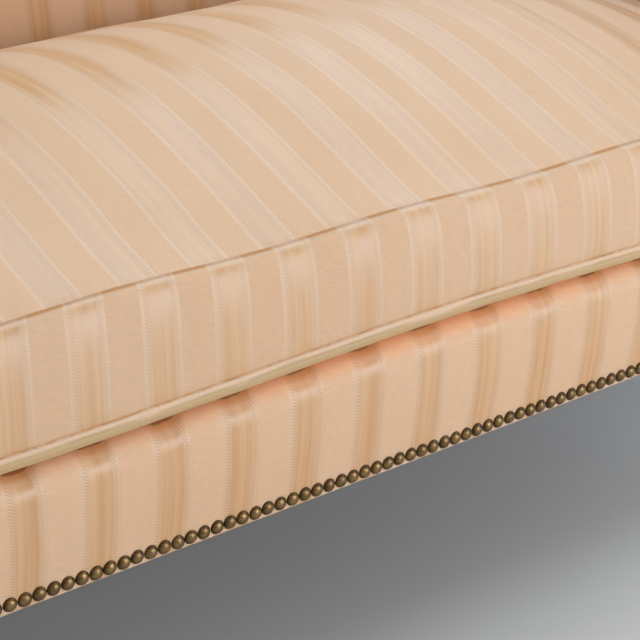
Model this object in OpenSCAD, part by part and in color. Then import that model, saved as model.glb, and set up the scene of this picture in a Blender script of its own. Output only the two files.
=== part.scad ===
// Upholstered loveseat with a camel back, rolled arms and one loose bench cushion.
// All sizes are in millimetres. The seat faces -Y, +X is to the right of the sitter's view
// of the front, and the floor is at z = 0.

/* [Seat] */
// Clear width between the insides of the arms
seat_w = 1230; // [1100:5:1400]
// Depth from the nail line to the inside back, at deck height
seat_d = 572; // [520:4:640]
// Height of the rails above the floor
leg_h = 203; // [160:1:240]
// Height of the wooden seat rails
rail_h = 84; // [76:1:100]
// Thickness of the wooden seat rails
rail_t = 28; // [24:1:32]
// How far the padded front of the rail swells past the nail line
rail_belly = 7; // [4:0.5:14]
// Height of the roll of padding along the front edge of the deck
edge_roll_h = 19; // [15:0.5:26]

/* [Arms] */
// Thickness of the arm below its roll
arm_t = 100; // [90:1:116]
// Radius of the arm roll
roll_r = 64; // [58:1:70]
// Height of the top of the arms above the floor
arm_h = 668; // [620:2:700]

/* [Back] */
// Height of the crest above the floor, at the middle of the back's width and thickness
crest_h = 915; // [860:5:960]
// Height of the back's ends above the floor, where they meet the arms
back_end_h = 604; // [585:1:608]
// Lean of the back from upright
rake = 12; // [8:0.5:16]
// Thickness of the padding on the inside back
back_pad_t = 66; // [50:1:80]
// Swell of the inside back past its flat padding
back_bulge = 24; // [10:1:30]

/* [Cushion] */
// Height of the cushion's band from the welt to the top seam
band_h = 83.4; // [70:0.2:100]
// Rise of the cushion's crown above its top seam
crown_h = 67; // [45:1:75]
// How far the top seam is drawn in behind the widest part of the band
seam_in = 20; // [10:0.5:24]
// Diameter of the welt round the bottom of the cushion
welt_d = 13; // [9:0.5:15]
// Gap between the cushion and each arm
cushion_side_gap = 2.5; // [1.5:0.5:6]
// Gap between the cushion and the inside back
cushion_rear_gap = 8; // [7:0.5:14]

/* [Nails and cloth] */
// Diameter of a nail head
nail_d = 11.1; // [9:0.1:12]
// Distance from nail to nail
nail_pitch = 11.5; // [11.5:0.1:16]
// Height of a nail head's dome
nail_dome = 3.6; // [2.5:0.1:4.5]
// Height of the nail line above the bottom edge of the rails
nail_up = 7.5; // [6.5:0.5:10]
// Thickness of the cover cloth
cloth_t = 1.6; // [1:0.1:2.5]

/* [Legs] */
// Width of a leg's square top
leg_w = 56; // [50:1:64]
// Width of the block foot of a front leg
foot_w = 64; // [58:1:72]
// Height of the block foot
foot_h = 52; // [30:1:60]
// How far a rear foot stands behind the back rail
rear_splay = 54; // [20:1:80]

/* [Hidden] */

$fn = 48;
// Gap that keeps a soft solid clear of its neighbour
soft_gap = 0.3;
// How far a cut runs past the solid that it cuts
overrun = 5;
// Thickness of the board and cloth on the outside of an arm, and of the outside back
side_t = 4;
back_panel_t = 3;

// Layers of the deck, from the rails up
spring_wire = 4;
clip_t = 1.2;
burlap_t = 1;

// Springs: half length of a bar, radius of a turn, number of springs, clip size
spring_bar_half = 12;
spring_turn_r = 12;
spring_count = 8;
spring_pitch = 145;
spring_edge = 10;
clip_w = 22;
clip_d = 12;

// Back frame
post_t = 32;
post_w = 45;
center_post_w = 60;
crest_w = 70;
crest_drop = 22;
tack_h = 48;
tack_t = 22;
web_w = 50;
web_t = 1.2;
web_columns = 5;
web_rows = 2;
web_lap = 25;
back_round_h = 46;
back_wrap = 2.5;
back_lap = 40;
// How far the crest rail stands in from its cover above and behind
crest_ease = 4;
crest_set = 1;

// Arm frame and padding
arm_pad_t = 26;
arm_rail_w = 60;
arm_rail_up = 10;
arm_rail_down = 15;
facing_t = 7;
facing_inset = 3;
facing_welt_d = 6;

// Cloth layer on the wood at the nail line, and the shape of the rail's padded front
nail_pad_t = 2.2;
belly_start_share = 0.135;
belly_full_share = 0.72;
edge_run = 30;
edge_rise = 31;
nail_shank_d = 1.8;
nail_shank_l = 11;

// Legs, stretchers, glides and bolts
stump_h = 62;
leg_chamfer = 9;
foot_step = 6;
rear_foot_t = 42;
glide_d = 24;
glide_h = 4;
stretcher_w = 20;
stretcher_h = 32;
stretcher_z = 72;
block_leg = 96;
block_h = 50;
bolt_d = 8;
bolt_l = 58;
bolt_head_d = 14;
bolt_head_h = 6;
bolt_clear = 0.15;
bolt_in = 14;
cross_rail_h = 45;

// Cushion: cloth layers, soft corners and the grid of its curved faces
corner_pull = 11;
corner_power = 16;
crown_power = 1.2;
band_power = 2.6;
welt_in = 5.5;
core_gap = 0.5;
cushion_over = 4;
zip_l = 900;
zip_w = 24;
zip_t = 1;
zip_z_share = 0.3;
slider_l = 14;
slider_w = 9;
slider_t = 3.2;
pull_l = 22;
pull_w = 5;
pull_t = 1.4;
cushion_columns = 20;
cushion_rows = 10;
band_steps = 6;
welt_sides = 8;
back_columns = 28;
back_front_rows = 9;
back_arch_rows = 8;
crest_steps = 28;

// Heights
rail_top = leg_h + rail_h;
burlap_z = rail_top + spring_wire + clip_t + soft_gap;
roll_z = burlap_z + burlap_t + soft_gap;
deck_top = roll_z + edge_roll_h + soft_gap + cloth_t;
roll_center_z = arm_h - roll_r;
front_h = deck_top - leg_h;
strip_z = leg_h + front_h * belly_start_share;

// Widths
seat_x = seat_w / 2;
arm_x = seat_x + arm_t;
side_x = arm_x - side_t;
side_in_x = side_x - rail_t;
roll_center_x = seat_x + roll_r;
post_x = seat_x + cloth_t + soft_gap + arm_pad_t + soft_gap;
leg_x = side_x - leg_w;

// Depths: the whole depth is added up first, so that the middle of it lies at y = 0
back_t = post_t + back_pad_t + cloth_t;
back_set = seat_d + back_t / cos(rake) - (deck_top - rail_top) * tan(rake);
crest_l = (crest_h - rail_top - back_t / 2 * sin(rake)) / cos(rake);
end_l = (back_end_h - rail_top - back_t / 2 * sin(rake)) / cos(rake);
back_face = back_wrap + soft_gap + back_panel_t;
back_reach = back_face * cos(rake) + (crest_l - crest_drop) * sin(rake);
total_d = rail_belly + back_set + back_reach;
nail_y = rail_belly - total_d / 2;
wood_y = nail_y + nail_pad_t;
back_y = nail_y + back_set;
web_y = -post_t - soft_gap;
stump_y = wood_y + rail_t;

// Cushion
cushion_z = deck_top + soft_gap;
welt_r = welt_d / 2;
band_z = cushion_z + welt_d + soft_gap;
seam_z = band_z + band_h;
cushion_front = nail_y - cushion_over;
cushion_back = nail_y + seat_d - cushion_rear_gap;
cushion_y = (cushion_front + cushion_back) / 2;
seam_half_w = seat_x - cushion_side_gap - seam_in;
seam_half_d = (cushion_back - cushion_front) / 2 - seam_in;

// Colours
cover_color = [0.87, 0.74, 0.6];
welt_color = [0.8, 0.73, 0.56];
pad_color = [0.93, 0.91, 0.85];
poplar_color = [0.8, 0.7, 0.5];
mahogany_color = [0.3, 0.14, 0.08];
nail_color = [0.45, 0.35, 0.22];
steel_color = [0.6, 0.6, 0.62];
burlap_color = [0.66, 0.53, 0.36];
black_color = [0.1, 0.1, 0.11];

// General shapes

module block(x0, x1, y0, y1, z0, z1) {
  translate([x0, y0, z0]) cube([x1 - x0, y1 - y0, z1 - z0]);
}

// A piece of even section along X, from points [y, z]
module along_x(points, x0, x1) {
  translate([x0, 0, 0]) rotate([90, 0, 90]) linear_extrude(x1 - x0) polygon(points);
}

// A piece of even section along Y, from a flat shape drawn in x and z
module along_y(y0, y1) {
  translate([0, y1, 0]) rotate([90, 0, 0]) linear_extrude(y1 - y0) children();
}

module flat(z0, z1) {
  translate([0, 0, z0]) linear_extrude(z1 - z0) children();
}

module rect(x0, x1, y0, y1) {
  translate([x0, y0]) square([x1 - x0, y1 - y0]);
}

module on_side(s) {
  if (s < 0) mirror([1, 0, 0]) children();
  else children();
}

// The frame that leans with the back: its y is 0 on the back face of the posts,
// and its z starts at the top of the back rail
module raked() {
  translate([0, back_y, rail_top]) rotate([-rake, 0, 0]) children();
}

// A point [y, z] of the leaning frame, seen in the part's own frame
function lean(y, z) = [
  back_y + y * cos(rake) + z * sin(rake),
  rail_top - y * sin(rake) + z * cos(rake)
];

// Everything behind the plane y of the leaning frame, above the rails
module behind(y, x0, x1, z0, z1) {
  raked() block(x0, x1, y, y + arm_h, z0, z1);
}

// A closed solid between two grids of points with the same rows and columns
module grid_solid(lower, upper, columns, rows) {
  row = columns + 1;
  half = row * (rows + 1);
  last = rows * row;
  polyhedron(
    points = concat(lower, upper),
    faces = concat(
      [for (j = [0:rows - 1]) for (i = [0:columns - 1])
        each quad(j * row + i, j * row + i + 1, (j + 1) * row + i + 1, (j + 1) * row + i)],
      [for (j = [0:rows - 1]) for (i = [0:columns - 1])
        each quad(half + j * row + i, half + (j + 1) * row + i,
          half + (j + 1) * row + i + 1, half + j * row + i + 1)],
      [for (i = [0:columns - 1]) each quad(i, half + i, half + i + 1, i + 1)],
      [for (i = [0:columns - 1])
        each quad(last + i, last + i + 1, half + last + i + 1, half + last + i)],
      [for (j = [0:rows - 1])
        each quad(j * row, (j + 1) * row, half + (j + 1) * row, half + j * row)],
      [for (j = [0:rows - 1]) each quad(j * row + columns, half + j * row + columns,
        half + (j + 1) * row + columns, (j + 1) * row + columns)]
    )
  );
}

// Two triangles, wound clockwise as seen from outside the solid
function quad(a, b, c, d) = [[a, b, c], [a, c, d]];

// A closed ring: rings[k] holds the points of section line k, station by station
module ring_solid(rings, stations) {
  count = len(rings);
  polyhedron(
    points = [for (line = rings) each line],
    faces = [for (k = [0:count - 1]) for (s = [0:stations - 1])
      each quad(k * stations + s, ((k + 1) % count) * stations + s,
        ((k + 1) % count) * stations + (s + 1) % stations,
        k * stations + (s + 1) % stations)]
  );
}

// Seat frame

module seat_rail_front() {
  color(poplar_color) block(-side_x, side_x, wood_y, wood_y + rail_t, leg_h, rail_top);
}

module seat_rail_back() {
  color(poplar_color) block(-side_x, side_x, back_y - rail_t, back_y, leg_h, rail_top);
}

module seat_rail_side(s) {
  color(poplar_color) on_side(s)
    block(side_in_x, side_x, wood_y + rail_t, back_y - rail_t, leg_h, rail_top);
}

module seat_rail_cross() {
  color(poplar_color) block(-rail_t / 2, rail_t / 2, wood_y + rail_t, back_y - rail_t,
    leg_h + nail_up, leg_h + nail_up + cross_rail_h);
}

// Puts its children at each of the four corners of the seat frame, with +x and +y
// pointing away from the corner along the rails
module at_corners() {
  for (s = [-1, 1]) {
    on_side(s) translate([side_in_x, stump_y, leg_h]) mirror([1, 0, 0]) children();
    on_side(s) translate([side_in_x, back_y - rail_t, leg_h]) rotate([0, 0, 180]) children();
  }
}

module bolt_axis(length, radius) {
  stump = leg_w - rail_t;
  translate([stump - bolt_in, stump - bolt_in, block_h / 2])
    rotate([0, 0, 45]) rotate([0, 90, 0]) cylinder(h = length, r = radius);
}

module blocks_at_corners() {
  stump = leg_w - rail_t + soft_gap;
  color(poplar_color) at_corners() difference() {
    linear_extrude(block_h)
      polygon([[stump, 0], [block_leg, 0], [0, block_leg], [0, stump], [stump, stump]]);
    bolt_axis(bolt_l, bolt_d / 2 + bolt_clear);
  }
}

module bolts() {
  stump = leg_w - rail_t;
  // Distance along the bolt from its tip to the slanted face of the block
  face = (block_leg / sqrt(2)) - (stump - bolt_in) * sqrt(2);
  color(steel_color) at_corners() {
    bolt_axis(face, bolt_d / 2);
    translate([stump - bolt_in, stump - bolt_in, block_h / 2]) rotate([0, 0, 45])
      rotate([0, 90, 0]) translate([0, 0, face]) cylinder(h = bolt_head_h, d = bolt_head_d, $fn = 6);
  }
}

// Legs

module leg_stump() {
  stump = leg_w - rail_t;
  difference() {
    union() {
      cube([stump, stump, stump_h]);
      translate([stump / 4, stump / 4, -stump / 4]) cube([stump / 2, stump / 2, stump / 2]);
    }
    bolt_axis(bolt_l, bolt_d / 2 + bolt_clear);
  }
}

module front_leg(s) {
  x1 = side_x;
  y1 = wood_y + leg_w;
  grow = (foot_w - leg_w) / 2;
  color(mahogany_color) on_side(s) union() {
    flat(glide_h, leg_h) polygon([
      [leg_x + leg_chamfer, y1], [leg_x, y1 - leg_chamfer], [leg_x, wood_y], [x1, wood_y], [x1, y1]
    ]);
    block(leg_x - grow, x1 + grow, wood_y - grow, y1 + grow, glide_h, foot_h);
    block(leg_x - grow / 2, x1 + grow / 2, wood_y - grow / 2, y1 + grow / 2,
      glide_h, foot_h + foot_step);
    translate([side_in_x, stump_y, leg_h]) mirror([1, 0, 0]) leg_stump();
  }
}

// Front face of a rear leg at height z
function rear_leg_front(z) = back_y - leg_w
  + (rear_splay + leg_w - rear_foot_t) * (leg_h - z) / (leg_h - glide_h);

module rear_leg(s) {
  foot_back = back_y + rear_splay;
  color(mahogany_color) on_side(s) union() {
    along_x([
      [back_y - leg_w, leg_h], [rear_leg_front(glide_h), glide_h],
      [foot_back, glide_h], [back_y, leg_h]
    ], leg_x, side_x);
    translate([side_in_x, back_y - rail_t, leg_h]) rotate([0, 0, 180]) leg_stump();
  }
}

module glides() {
  x = (leg_x + side_x) / 2;
  color(steel_color) for (s = [-1, 1]) for (y = [wood_y + leg_w / 2,
      back_y + rear_splay - rear_foot_t / 2])
    translate([s * x, y, 0]) cylinder(h = glide_h, d = glide_d);
}

module side_stretcher(s) {
  x = (leg_x + side_x - stretcher_w) / 2;
  top = stretcher_z + stretcher_h;
  color(mahogany_color) on_side(s) along_x([
    [wood_y + leg_w, stretcher_z], [rear_leg_front(stretcher_z), stretcher_z],
    [rear_leg_front(top), top], [wood_y + leg_w, top]
  ], x, x + stretcher_w);
}

module middle_stretcher() {
  x = (leg_x + side_x - stretcher_w) / 2;
  y = (wood_y + back_y) / 2;
  color(mahogany_color)
    block(-x, x, y - stretcher_w / 2, y + stretcher_w / 2, stretcher_z, stretcher_z + stretcher_h);
}

// Springs and deck

spring_y0 = wood_y + spring_edge;
spring_y1 = back_y - spring_edge;
spring_turns = floor((spring_y1 - spring_y0) / (2 * spring_turn_r));
spring_step = (spring_y1 - spring_y0) / spring_turns;

// One side of a spring's outline: the wire runs out and back in bars joined by turns
function spring_side(side) = [
  for (k = [0:spring_turns - 1])
    let (way = k % 2 == 0 ? 1 : -1,
      r = spring_step / 2 - side * way * spring_wire / 2,
      y = spring_y0 + (k + 0.5) * spring_step)
    for (a = [-90:60:90]) [way * (spring_bar_half + r * cos(a)), y + r * sin(a)]
];

function spring_end(side, y, way) =
  [[way * spring_bar_half, y + side * spring_wire / 2]];

module springs() {
  last_way = spring_turns % 2 == 0 ? -1 : 1;
  outline = concat(
    spring_end(1, spring_y0, -1), spring_side(1), spring_end(-last_way, spring_y1, -last_way),
    spring_end(last_way, spring_y1, -last_way),
    [for (i = [len(spring_side(-1)) - 1:-1:0]) spring_side(-1)[i]],
    spring_end(-1, spring_y0, -1)
  );
  color(steel_color) for (i = [0:spring_count - 1])
    translate([(i - (spring_count - 1) / 2) * spring_pitch, 0, 0])
      flat(rail_top, rail_top + spring_wire) polygon(outline);
}

module clips() {
  top = rail_top + spring_wire + clip_t;
  color(steel_color) for (i = [0:spring_count - 1]) for (y = [spring_y0, spring_y1])
    translate([(i - (spring_count - 1) / 2) * spring_pitch, 0, 0]) difference() {
      block(-clip_w / 2, clip_w / 2, y - clip_d / 2, y + clip_d / 2, rail_top, top);
      block(-clip_w, clip_w, y - spring_wire / 2, y + spring_wire / 2,
        rail_top - overrun, rail_top + spring_wire);
    }
}

module burlap() {
  color(burlap_color)
    block(-post_x, post_x, wood_y + rail_t / 8, back_y - post_t - spring_edge,
      burlap_z, burlap_z + burlap_t);
}

// The padded front edge: a curve that starts at the nail line, swells and rolls over
// onto the deck. inset moves it inwards, by the thickness of what lies outside it.
edge_y = nail_y - rail_belly + edge_run;
edge_z = deck_top - edge_rise;

function front_lower(inset) = concat(
  [[nail_y + inset, leg_h]],
  [for (s = [0:0.2:1]) [
    nail_y + inset - rail_belly * sin(90 * s),
    strip_z + front_h * (belly_full_share - belly_start_share) * s
  ]]
);

function front_upper(inset, from, to) = [
  for (k = [0:8]) let (a = from + (to - from) * k / 8)
    [edge_y + (edge_run - inset) * cos(a), edge_z + (edge_rise - inset) * sin(a)]
];

function backwards(list) = [for (i = [len(list) - 1:-1:0]) list[i]];

// Angle on the rolled edge at which it reaches height z
function edge_angle(z, inset) = 180 - asin((z - edge_z) / (edge_rise - inset));

module rail_cover_front() {
  x = seat_x - soft_gap;
  color(cover_color) difference() {
    along_x(concat(
      front_lower(0), front_upper(0, 180, 90),
      backwards(front_upper(cloth_t, 180, 90)), backwards(front_lower(cloth_t))
    ), -side_x, side_x);
    for (s = [-1, 1]) on_side(s) block(x, side_x + overrun, nail_y - rail_belly - overrun,
      edge_y + overrun, strip_z - soft_gap, deck_top + overrun);
  }
}

module rail_padding_front() {
  inset = cloth_t + soft_gap;
  x = seat_x - soft_gap;
  color(pad_color) along_x(concat(
    [[wood_y, strip_z]],
    [for (p = front_lower(inset)) if (p[0] < wood_y - soft_gap) p],
    front_upper(inset, 180, edge_angle(roll_z - soft_gap, inset)),
    [[wood_y, roll_z - soft_gap]]
  ), -x, x);
}

module edge_roll_front() {
  inset = cloth_t + soft_gap;
  x = seat_x - soft_gap;
  color(pad_color) along_x(concat(
    front_upper(inset, edge_angle(roll_z, inset), 90),
    [[edge_y, roll_z]]
  ), -x, x);
}

module deck_pad() {
  x = seat_x - soft_gap;
  color(pad_color) block(-x, x, edge_y + soft_gap, nail_y + seat_d - soft_gap,
    roll_z, deck_top - cloth_t - soft_gap);
}

module deck_cloth() {
  x = seat_x - soft_gap;
  color(cover_color) block(-x, x, edge_y + soft_gap, nail_y + seat_d - soft_gap,
    deck_top - cloth_t, deck_top);
}

module dust_cloth() {
  x = side_x - side_t;
  gap = soft_gap;
  color(black_color) flat(leg_h - burlap_t, leg_h) difference() {
    rect(-x, x, wood_y + side_t, back_y - side_t);
    for (s = [-1, 1]) on_side(s) {
      rect(leg_x - gap, side_x, wood_y, wood_y + leg_w + gap);
      rect(leg_x - gap, side_x, back_y - leg_w - gap, back_y);
    }
  }
}

// Nails

module nail() {
  r = nail_d / 2;
  ball = (r * r + nail_dome * nail_dome) / (2 * nail_dome);
  rotate_extrude() union() {
    intersection() {
      translate([0, nail_dome - ball]) circle(ball);
      square([r, nail_dome]);
    }
    translate([0, -nail_shank_l]) square([nail_shank_d / 2, nail_shank_l + nail_dome / 2]);
  }
}

module nails_front() {
  count = 2 * floor((arm_x - nail_d / 2) / nail_pitch) + 1;
  color(nail_color) for (i = [0:count - 1])
    translate([(i - (count - 1) / 2) * nail_pitch, nail_y, leg_h + nail_up])
      rotate([90, 0, 0]) nail();
}

module nails_side() {
  y0 = nail_y + nail_pitch / 2 + nail_dome;
  count = floor((back_y - nail_d / 2 - y0) / nail_pitch) + 1;
  color(nail_color) for (s = [-1, 1]) on_side(s) for (i = [0:count - 1])
    translate([arm_x, y0 + i * nail_pitch, leg_h + nail_up]) rotate([0, 90, 0]) nail();
}

// Arms. The flat shapes are drawn in x and z, for the right arm.

module keyhole(r, x0, x1, z0) {
  translate([roll_center_x, roll_center_z]) circle(r);
  rect(x0, x1, z0, roll_center_z);
}

arm_foot_z = roll_z;
// A little behind the leaning back at the height of the arms, where the arms are cut off
arm_end_y = back_y + (arm_h - rail_top) * tan(rake) + overrun;

module arm_stump(s) {
  r = roll_r - facing_inset - arm_rail_up;
  color(poplar_color) on_side(s) along_y(wood_y, stump_y) {
    intersection() {
      translate([roll_center_x, roll_center_z]) circle(r);
      rect(seat_x, arm_x + roll_r, roll_center_z - arm_rail_down, arm_h);
    }
    rect(post_x, side_x - soft_gap, rail_top, roll_center_z);
  }
}

module arm_top_rail(s) {
  color(poplar_color) on_side(s) difference() {
    block(roll_center_x - arm_rail_w / 2, roll_center_x + arm_rail_w / 2, stump_y, arm_end_y,
      roll_center_z - arm_rail_down, roll_center_z + arm_rail_up);
    behind(0, 0, arm_x + roll_r, 0, crest_l);
  }
}

// Front face of a back post at height z
function post_front(z) = back_y - post_t / cos(rake) + (z - rail_top) * tan(rake);

module arm_tack_rail(s) {
  top = rail_top + tack_h;
  color(poplar_color) on_side(s) along_x([
    [stump_y, rail_top], [post_front(rail_top), rail_top], [post_front(top), top], [stump_y, top]
  ], post_x, post_x + tack_t);
}

// Space taken by the inside back between the arms, and by the rails that pass through
module back_slot() {
  behind(-back_t - soft_gap, seat_x - overrun, post_x, -arm_t,
    (roll_center_z - arm_rail_down - rail_top) / cos(rake));
}

module arm_pad(s) {
  x0 = seat_x + cloth_t + soft_gap;
  color(pad_color) on_side(s) difference() {
    block(x0, x0 + arm_pad_t, wood_y + soft_gap, arm_end_y,
      arm_foot_z, roll_center_z - arm_rail_down - soft_gap);
    back_slot();
    behind(0, 0, arm_x + roll_r, -arm_t, crest_l);
  }
}

module arm_roll_pad(s) {
  color(pad_color) on_side(s) difference() {
    along_y(stump_y + soft_gap, arm_end_y) difference() {
      translate([roll_center_x, roll_center_z]) circle(roll_r - cloth_t - soft_gap);
      rect(seat_x - overrun, post_x, arm_foot_z, roll_center_z - arm_rail_down);
      rect(roll_center_x - arm_rail_w / 2 - soft_gap, roll_center_x + arm_rail_w / 2 + soft_gap,
        roll_center_z - arm_rail_down - soft_gap, roll_center_z + arm_rail_up + soft_gap);
      rect(post_x - soft_gap, side_x, arm_foot_z, roll_center_z - arm_rail_down + soft_gap);
    }
    behind(0, 0, arm_x + roll_r, 0, crest_l);
  }
}

module arm_cover(s) {
  x1 = side_x - soft_gap;
  color(cover_color) on_side(s) difference() {
    along_y(wood_y, arm_end_y) difference() {
      keyhole(roll_r, seat_x, x1, arm_foot_z);
      keyhole(roll_r - cloth_t, seat_x + cloth_t, x1 + overrun, arm_foot_z - overrun);
    }
    back_slot();
    behind(back_wrap, 0, arm_x + roll_r, -arm_t, crest_l);
  }
}

// Height at which the outside of the arm meets the underside of the roll
arm_join_z = roll_center_z - sqrt(roll_r * roll_r - pow(side_x - roll_center_x, 2));

module outside_arm(s) {
  top = arm_join_z - soft_gap;
  back_top = back_y + (top - rail_top) * tan(rake);
  color(cover_color) on_side(s) along_x([
    [wood_y, leg_h], [back_y, leg_h], [back_y, rail_top], [back_top, top], [wood_y, top]
  ], side_x, arm_x);
}

module arm_facing(s) {
  color(cover_color) on_side(s) along_y(wood_y - facing_t, wood_y - soft_gap)
    keyhole(roll_r - facing_inset, seat_x + facing_inset, arm_x - facing_inset, strip_z + soft_gap);
}

module facing_welts() {
  r = roll_r - facing_inset;
  wr = facing_welt_d / 2;
  x0 = seat_x + facing_inset;
  x1 = arm_x - facing_inset;
  turn = acos((x1 - roll_center_x) / r);
  foot = strip_z + soft_gap;
  join = roll_center_z - r * sin(turn);
  color(welt_color) for (s = [-1, 1]) on_side(s)
    translate([0, wood_y - facing_t - wr, 0]) union() {
      translate([roll_center_x, 0, roll_center_z]) rotate([90, 0, 0]) rotate([0, 0, -turn])
        rotate_extrude(angle = 180 + turn) translate([r, 0]) circle(wr);
      translate([x0, 0, cushion_z]) cylinder(h = roll_center_z - cushion_z, r = wr);
      translate([x1, 0, foot]) cylinder(h = join - foot, r = wr);
      translate([x1, 0, join]) sphere(wr);
    }
}

// Back. outline(x) is the top of the back's cover along the lean.

function outline(x) = end_l + (crest_l - end_l) * (1 + cos(180 * abs(x) / seat_x)) / 2;

function crest_points(drop, half) = [
  for (i = [0:crest_steps]) let (x = half * (2 * i / crest_steps - 1))
    [x, outline(min(abs(x), seat_x)) - drop]
];

module back_post(s) {
  top = roll_center_z - arm_rail_down;
  depth = post_t / cos(rake);
  color(poplar_color) on_side(s) along_x([
    [post_front(rail_top), rail_top], [back_y, rail_top],
    [post_front(top) + depth, top], [post_front(top), top]
  ], post_x, post_x + post_w);
}

module center_post() {
  top = lookup(center_post_w / 2, crest_points(crest_drop + crest_w, post_x));
  color(poplar_color) along_x([
    [post_front(rail_top), rail_top], [back_y, rail_top], lean(0, top), lean(-post_t, top)
  ], -center_post_w / 2, center_post_w / 2);
}

module crest_rail() {
  color(poplar_color) raked() along_y(-post_t, -crest_set) polygon(concat(
    crest_points(crest_drop + crest_w, post_x),
    backwards(crest_points(crest_drop + crest_ease, post_x))
  ));
}

module tack_rail_back() {
  z0 = post_t * tan(rake) + soft_gap;
  color(poplar_color) raked() for (s = [-1, 1]) on_side(s)
    block(center_post_w / 2, post_x, -post_t, tack_t - post_t, z0, z0 + tack_h);
}

module webbing_back() {
  z0 = post_t * tan(rake) + soft_gap;
  span = outline(seat_x) - crest_drop - crest_w - tack_h;
  color(burlap_color) raked() along_y(web_y - web_t, web_y) union() {
    for (i = [0:web_columns - 1]) let (x = (i - (web_columns - 1) / 2) * seat_w / (web_columns + 1))
      rect(x - web_w / 2, x + web_w / 2, z0, outline(x) - crest_drop - crest_w + web_lap);
    for (j = [1:web_rows]) let (z = z0 + tack_h + span * j / (web_rows + 1))
      rect(-post_x - web_lap, post_x + web_lap, z - web_w / 2, z + web_w / 2);
  }
}

// Lowest line of the inside back, in the leaning frame
back_foot = (deck_top + soft_gap - rail_top - back_t * sin(rake)) / cos(rake);

function swell(x) = back_bulge * pow(max(0, 1 - pow(x / seat_x, 2)), 0.5);

// Row k of the inside back's section at x: up the front, over the top and down behind.
// out is the distance outside the cover's face.
function back_row(x, k, out) =
  let (top = outline(x), shoulder = top - back_round_h,
    h = k / back_front_rows,
    a = 180 * (k - back_front_rows) / back_arch_rows,
    half = (back_t + back_wrap) / 2)
  k <= back_front_rows
    ? [-back_t - out - swell(x) * pow(sin(180 * h), 0.8), back_foot + (shoulder - back_foot) * h]
    : k <= back_front_rows + back_arch_rows
      ? [back_wrap - half - sign(cos(a)) * (half + out) * sqrt(abs(cos(a))),
        shoulder + (back_round_h + out) * sqrt(abs(sin(a)))]
      : [back_wrap + out, shoulder - back_lap];

function back_x(i) = (seat_x - soft_gap) * (2 * i / back_columns - 1);

function back_grid(rows, out) = [
  for (k = [0:rows]) for (i = [0:back_columns])
    let (x = back_x(i), p = back_row(x, k, out)) [x, p[0], p[1]]
];

module back_cover_inside() {
  rows = back_front_rows + back_arch_rows + 1;
  color(cover_color) raked()
    grid_solid(back_grid(rows, -cloth_t), back_grid(rows, 0), back_columns, rows);
}

module back_pad_inside() {
  rows = back_front_rows + 3;
  front = back_grid(rows, -cloth_t - soft_gap);
  rear = [for (p = front) [p[0], web_y - web_t - soft_gap, p[2]]];
  color(pad_color) raked() grid_solid(rear, front, back_columns, rows);
}

module back_cover_outside() {
  y0 = back_wrap + soft_gap;
  roll_l = (roll_center_z - rail_top + y0 * sin(rake)) / cos(rake);
  r = roll_r - facing_inset;
  color(cover_color) union() {
    raked() along_y(y0, y0 + back_panel_t) union() {
      polygon(concat([[-seat_x, -back_panel_t], [seat_x, -back_panel_t]],
        backwards(crest_points(crest_drop, seat_x))));
      for (s = [-1, 1]) on_side(s) {
        translate([roll_center_x, roll_l]) circle(r);
        rect(seat_x - overrun, arm_x, -back_panel_t, roll_l);
      }
    }
    block(-arm_x, arm_x, back_y + soft_gap, back_y + soft_gap + back_panel_t, leg_h, rail_top);
  }
}

// Cushion. Its plan is a rectangle with soft corners; u and v run from -1 to 1, and out
// is the distance outside the top seam.

function spread(i, n) = -cos(180 * i / n);

function plan(u, v, out) = [
  u * (seam_half_w + out - corner_pull * pow(abs(v), corner_power)),
  cushion_y + v * (seam_half_d + out - corner_pull * pow(abs(u), corner_power))
];

// Outside of the band at share t of its height
function band_out(t) = seam_in * pow(1 - pow(t, band_power), 1 / band_power);

function crown(u, v) = crown_h * pow((1 - pow(u, 4)) * (1 - v * v), crown_power);

function cushion_grid(out, z, lift) = [
  for (j = [0:cushion_rows]) for (i = [0:cushion_columns])
    let (u = spread(i, cushion_columns), v = spread(j, cushion_rows), p = plan(u, v, out))
    [p[0], p[1], z + lift * crown(u, v)]
];

// The stations round the edge of the grid, counterclockwise from the front left corner
rim = concat(
  [for (i = [0:cushion_columns - 1]) [spread(i, cushion_columns), -1]],
  [for (j = [0:cushion_rows - 1]) [1, spread(j, cushion_rows)]],
  [for (i = [cushion_columns:-1:1]) [spread(i, cushion_columns), 1]],
  [for (j = [cushion_rows:-1:1]) [-1, spread(j, cushion_rows)]]
);

function rim_line(out, z) = [for (r = rim) let (p = plan(r[0], r[1], out)) [p[0], p[1], z]];

module boxing() {
  outer = [for (k = [0:band_steps]) let (t = k / band_steps)
    rim_line(band_out(t), band_z + band_h * t)];
  inner = [for (k = [band_steps:-1:0]) let (t = k / band_steps)
    rim_line(band_out(t) - cloth_t, band_z + band_h * t)];
  color(cover_color) ring_solid(concat(outer, inner), len(rim));
}

module top_panel() {
  color(cover_color) grid_solid(
    cushion_grid(0, seam_z, 1), cushion_grid(0, seam_z + cloth_t, 1),
    cushion_columns, cushion_rows);
}

module welt() {
  out = seam_in - welt_in;
  z = cushion_z + welt_r;
  color(welt_color) ring_solid([for (k = [0:welt_sides - 1]) let (a = -360 * (k + 0.5) / welt_sides)
    rim_line(out + welt_r * cos(a), z - welt_r * sin(a))], len(rim));
}

module bottom_panel() {
  line = rim_line(seam_in - welt_in - welt_r - soft_gap, 0);
  color(cover_color) flat(cushion_z, cushion_z + cloth_t)
    polygon([for (p = line) [p[0], p[1]]]);
}

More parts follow.
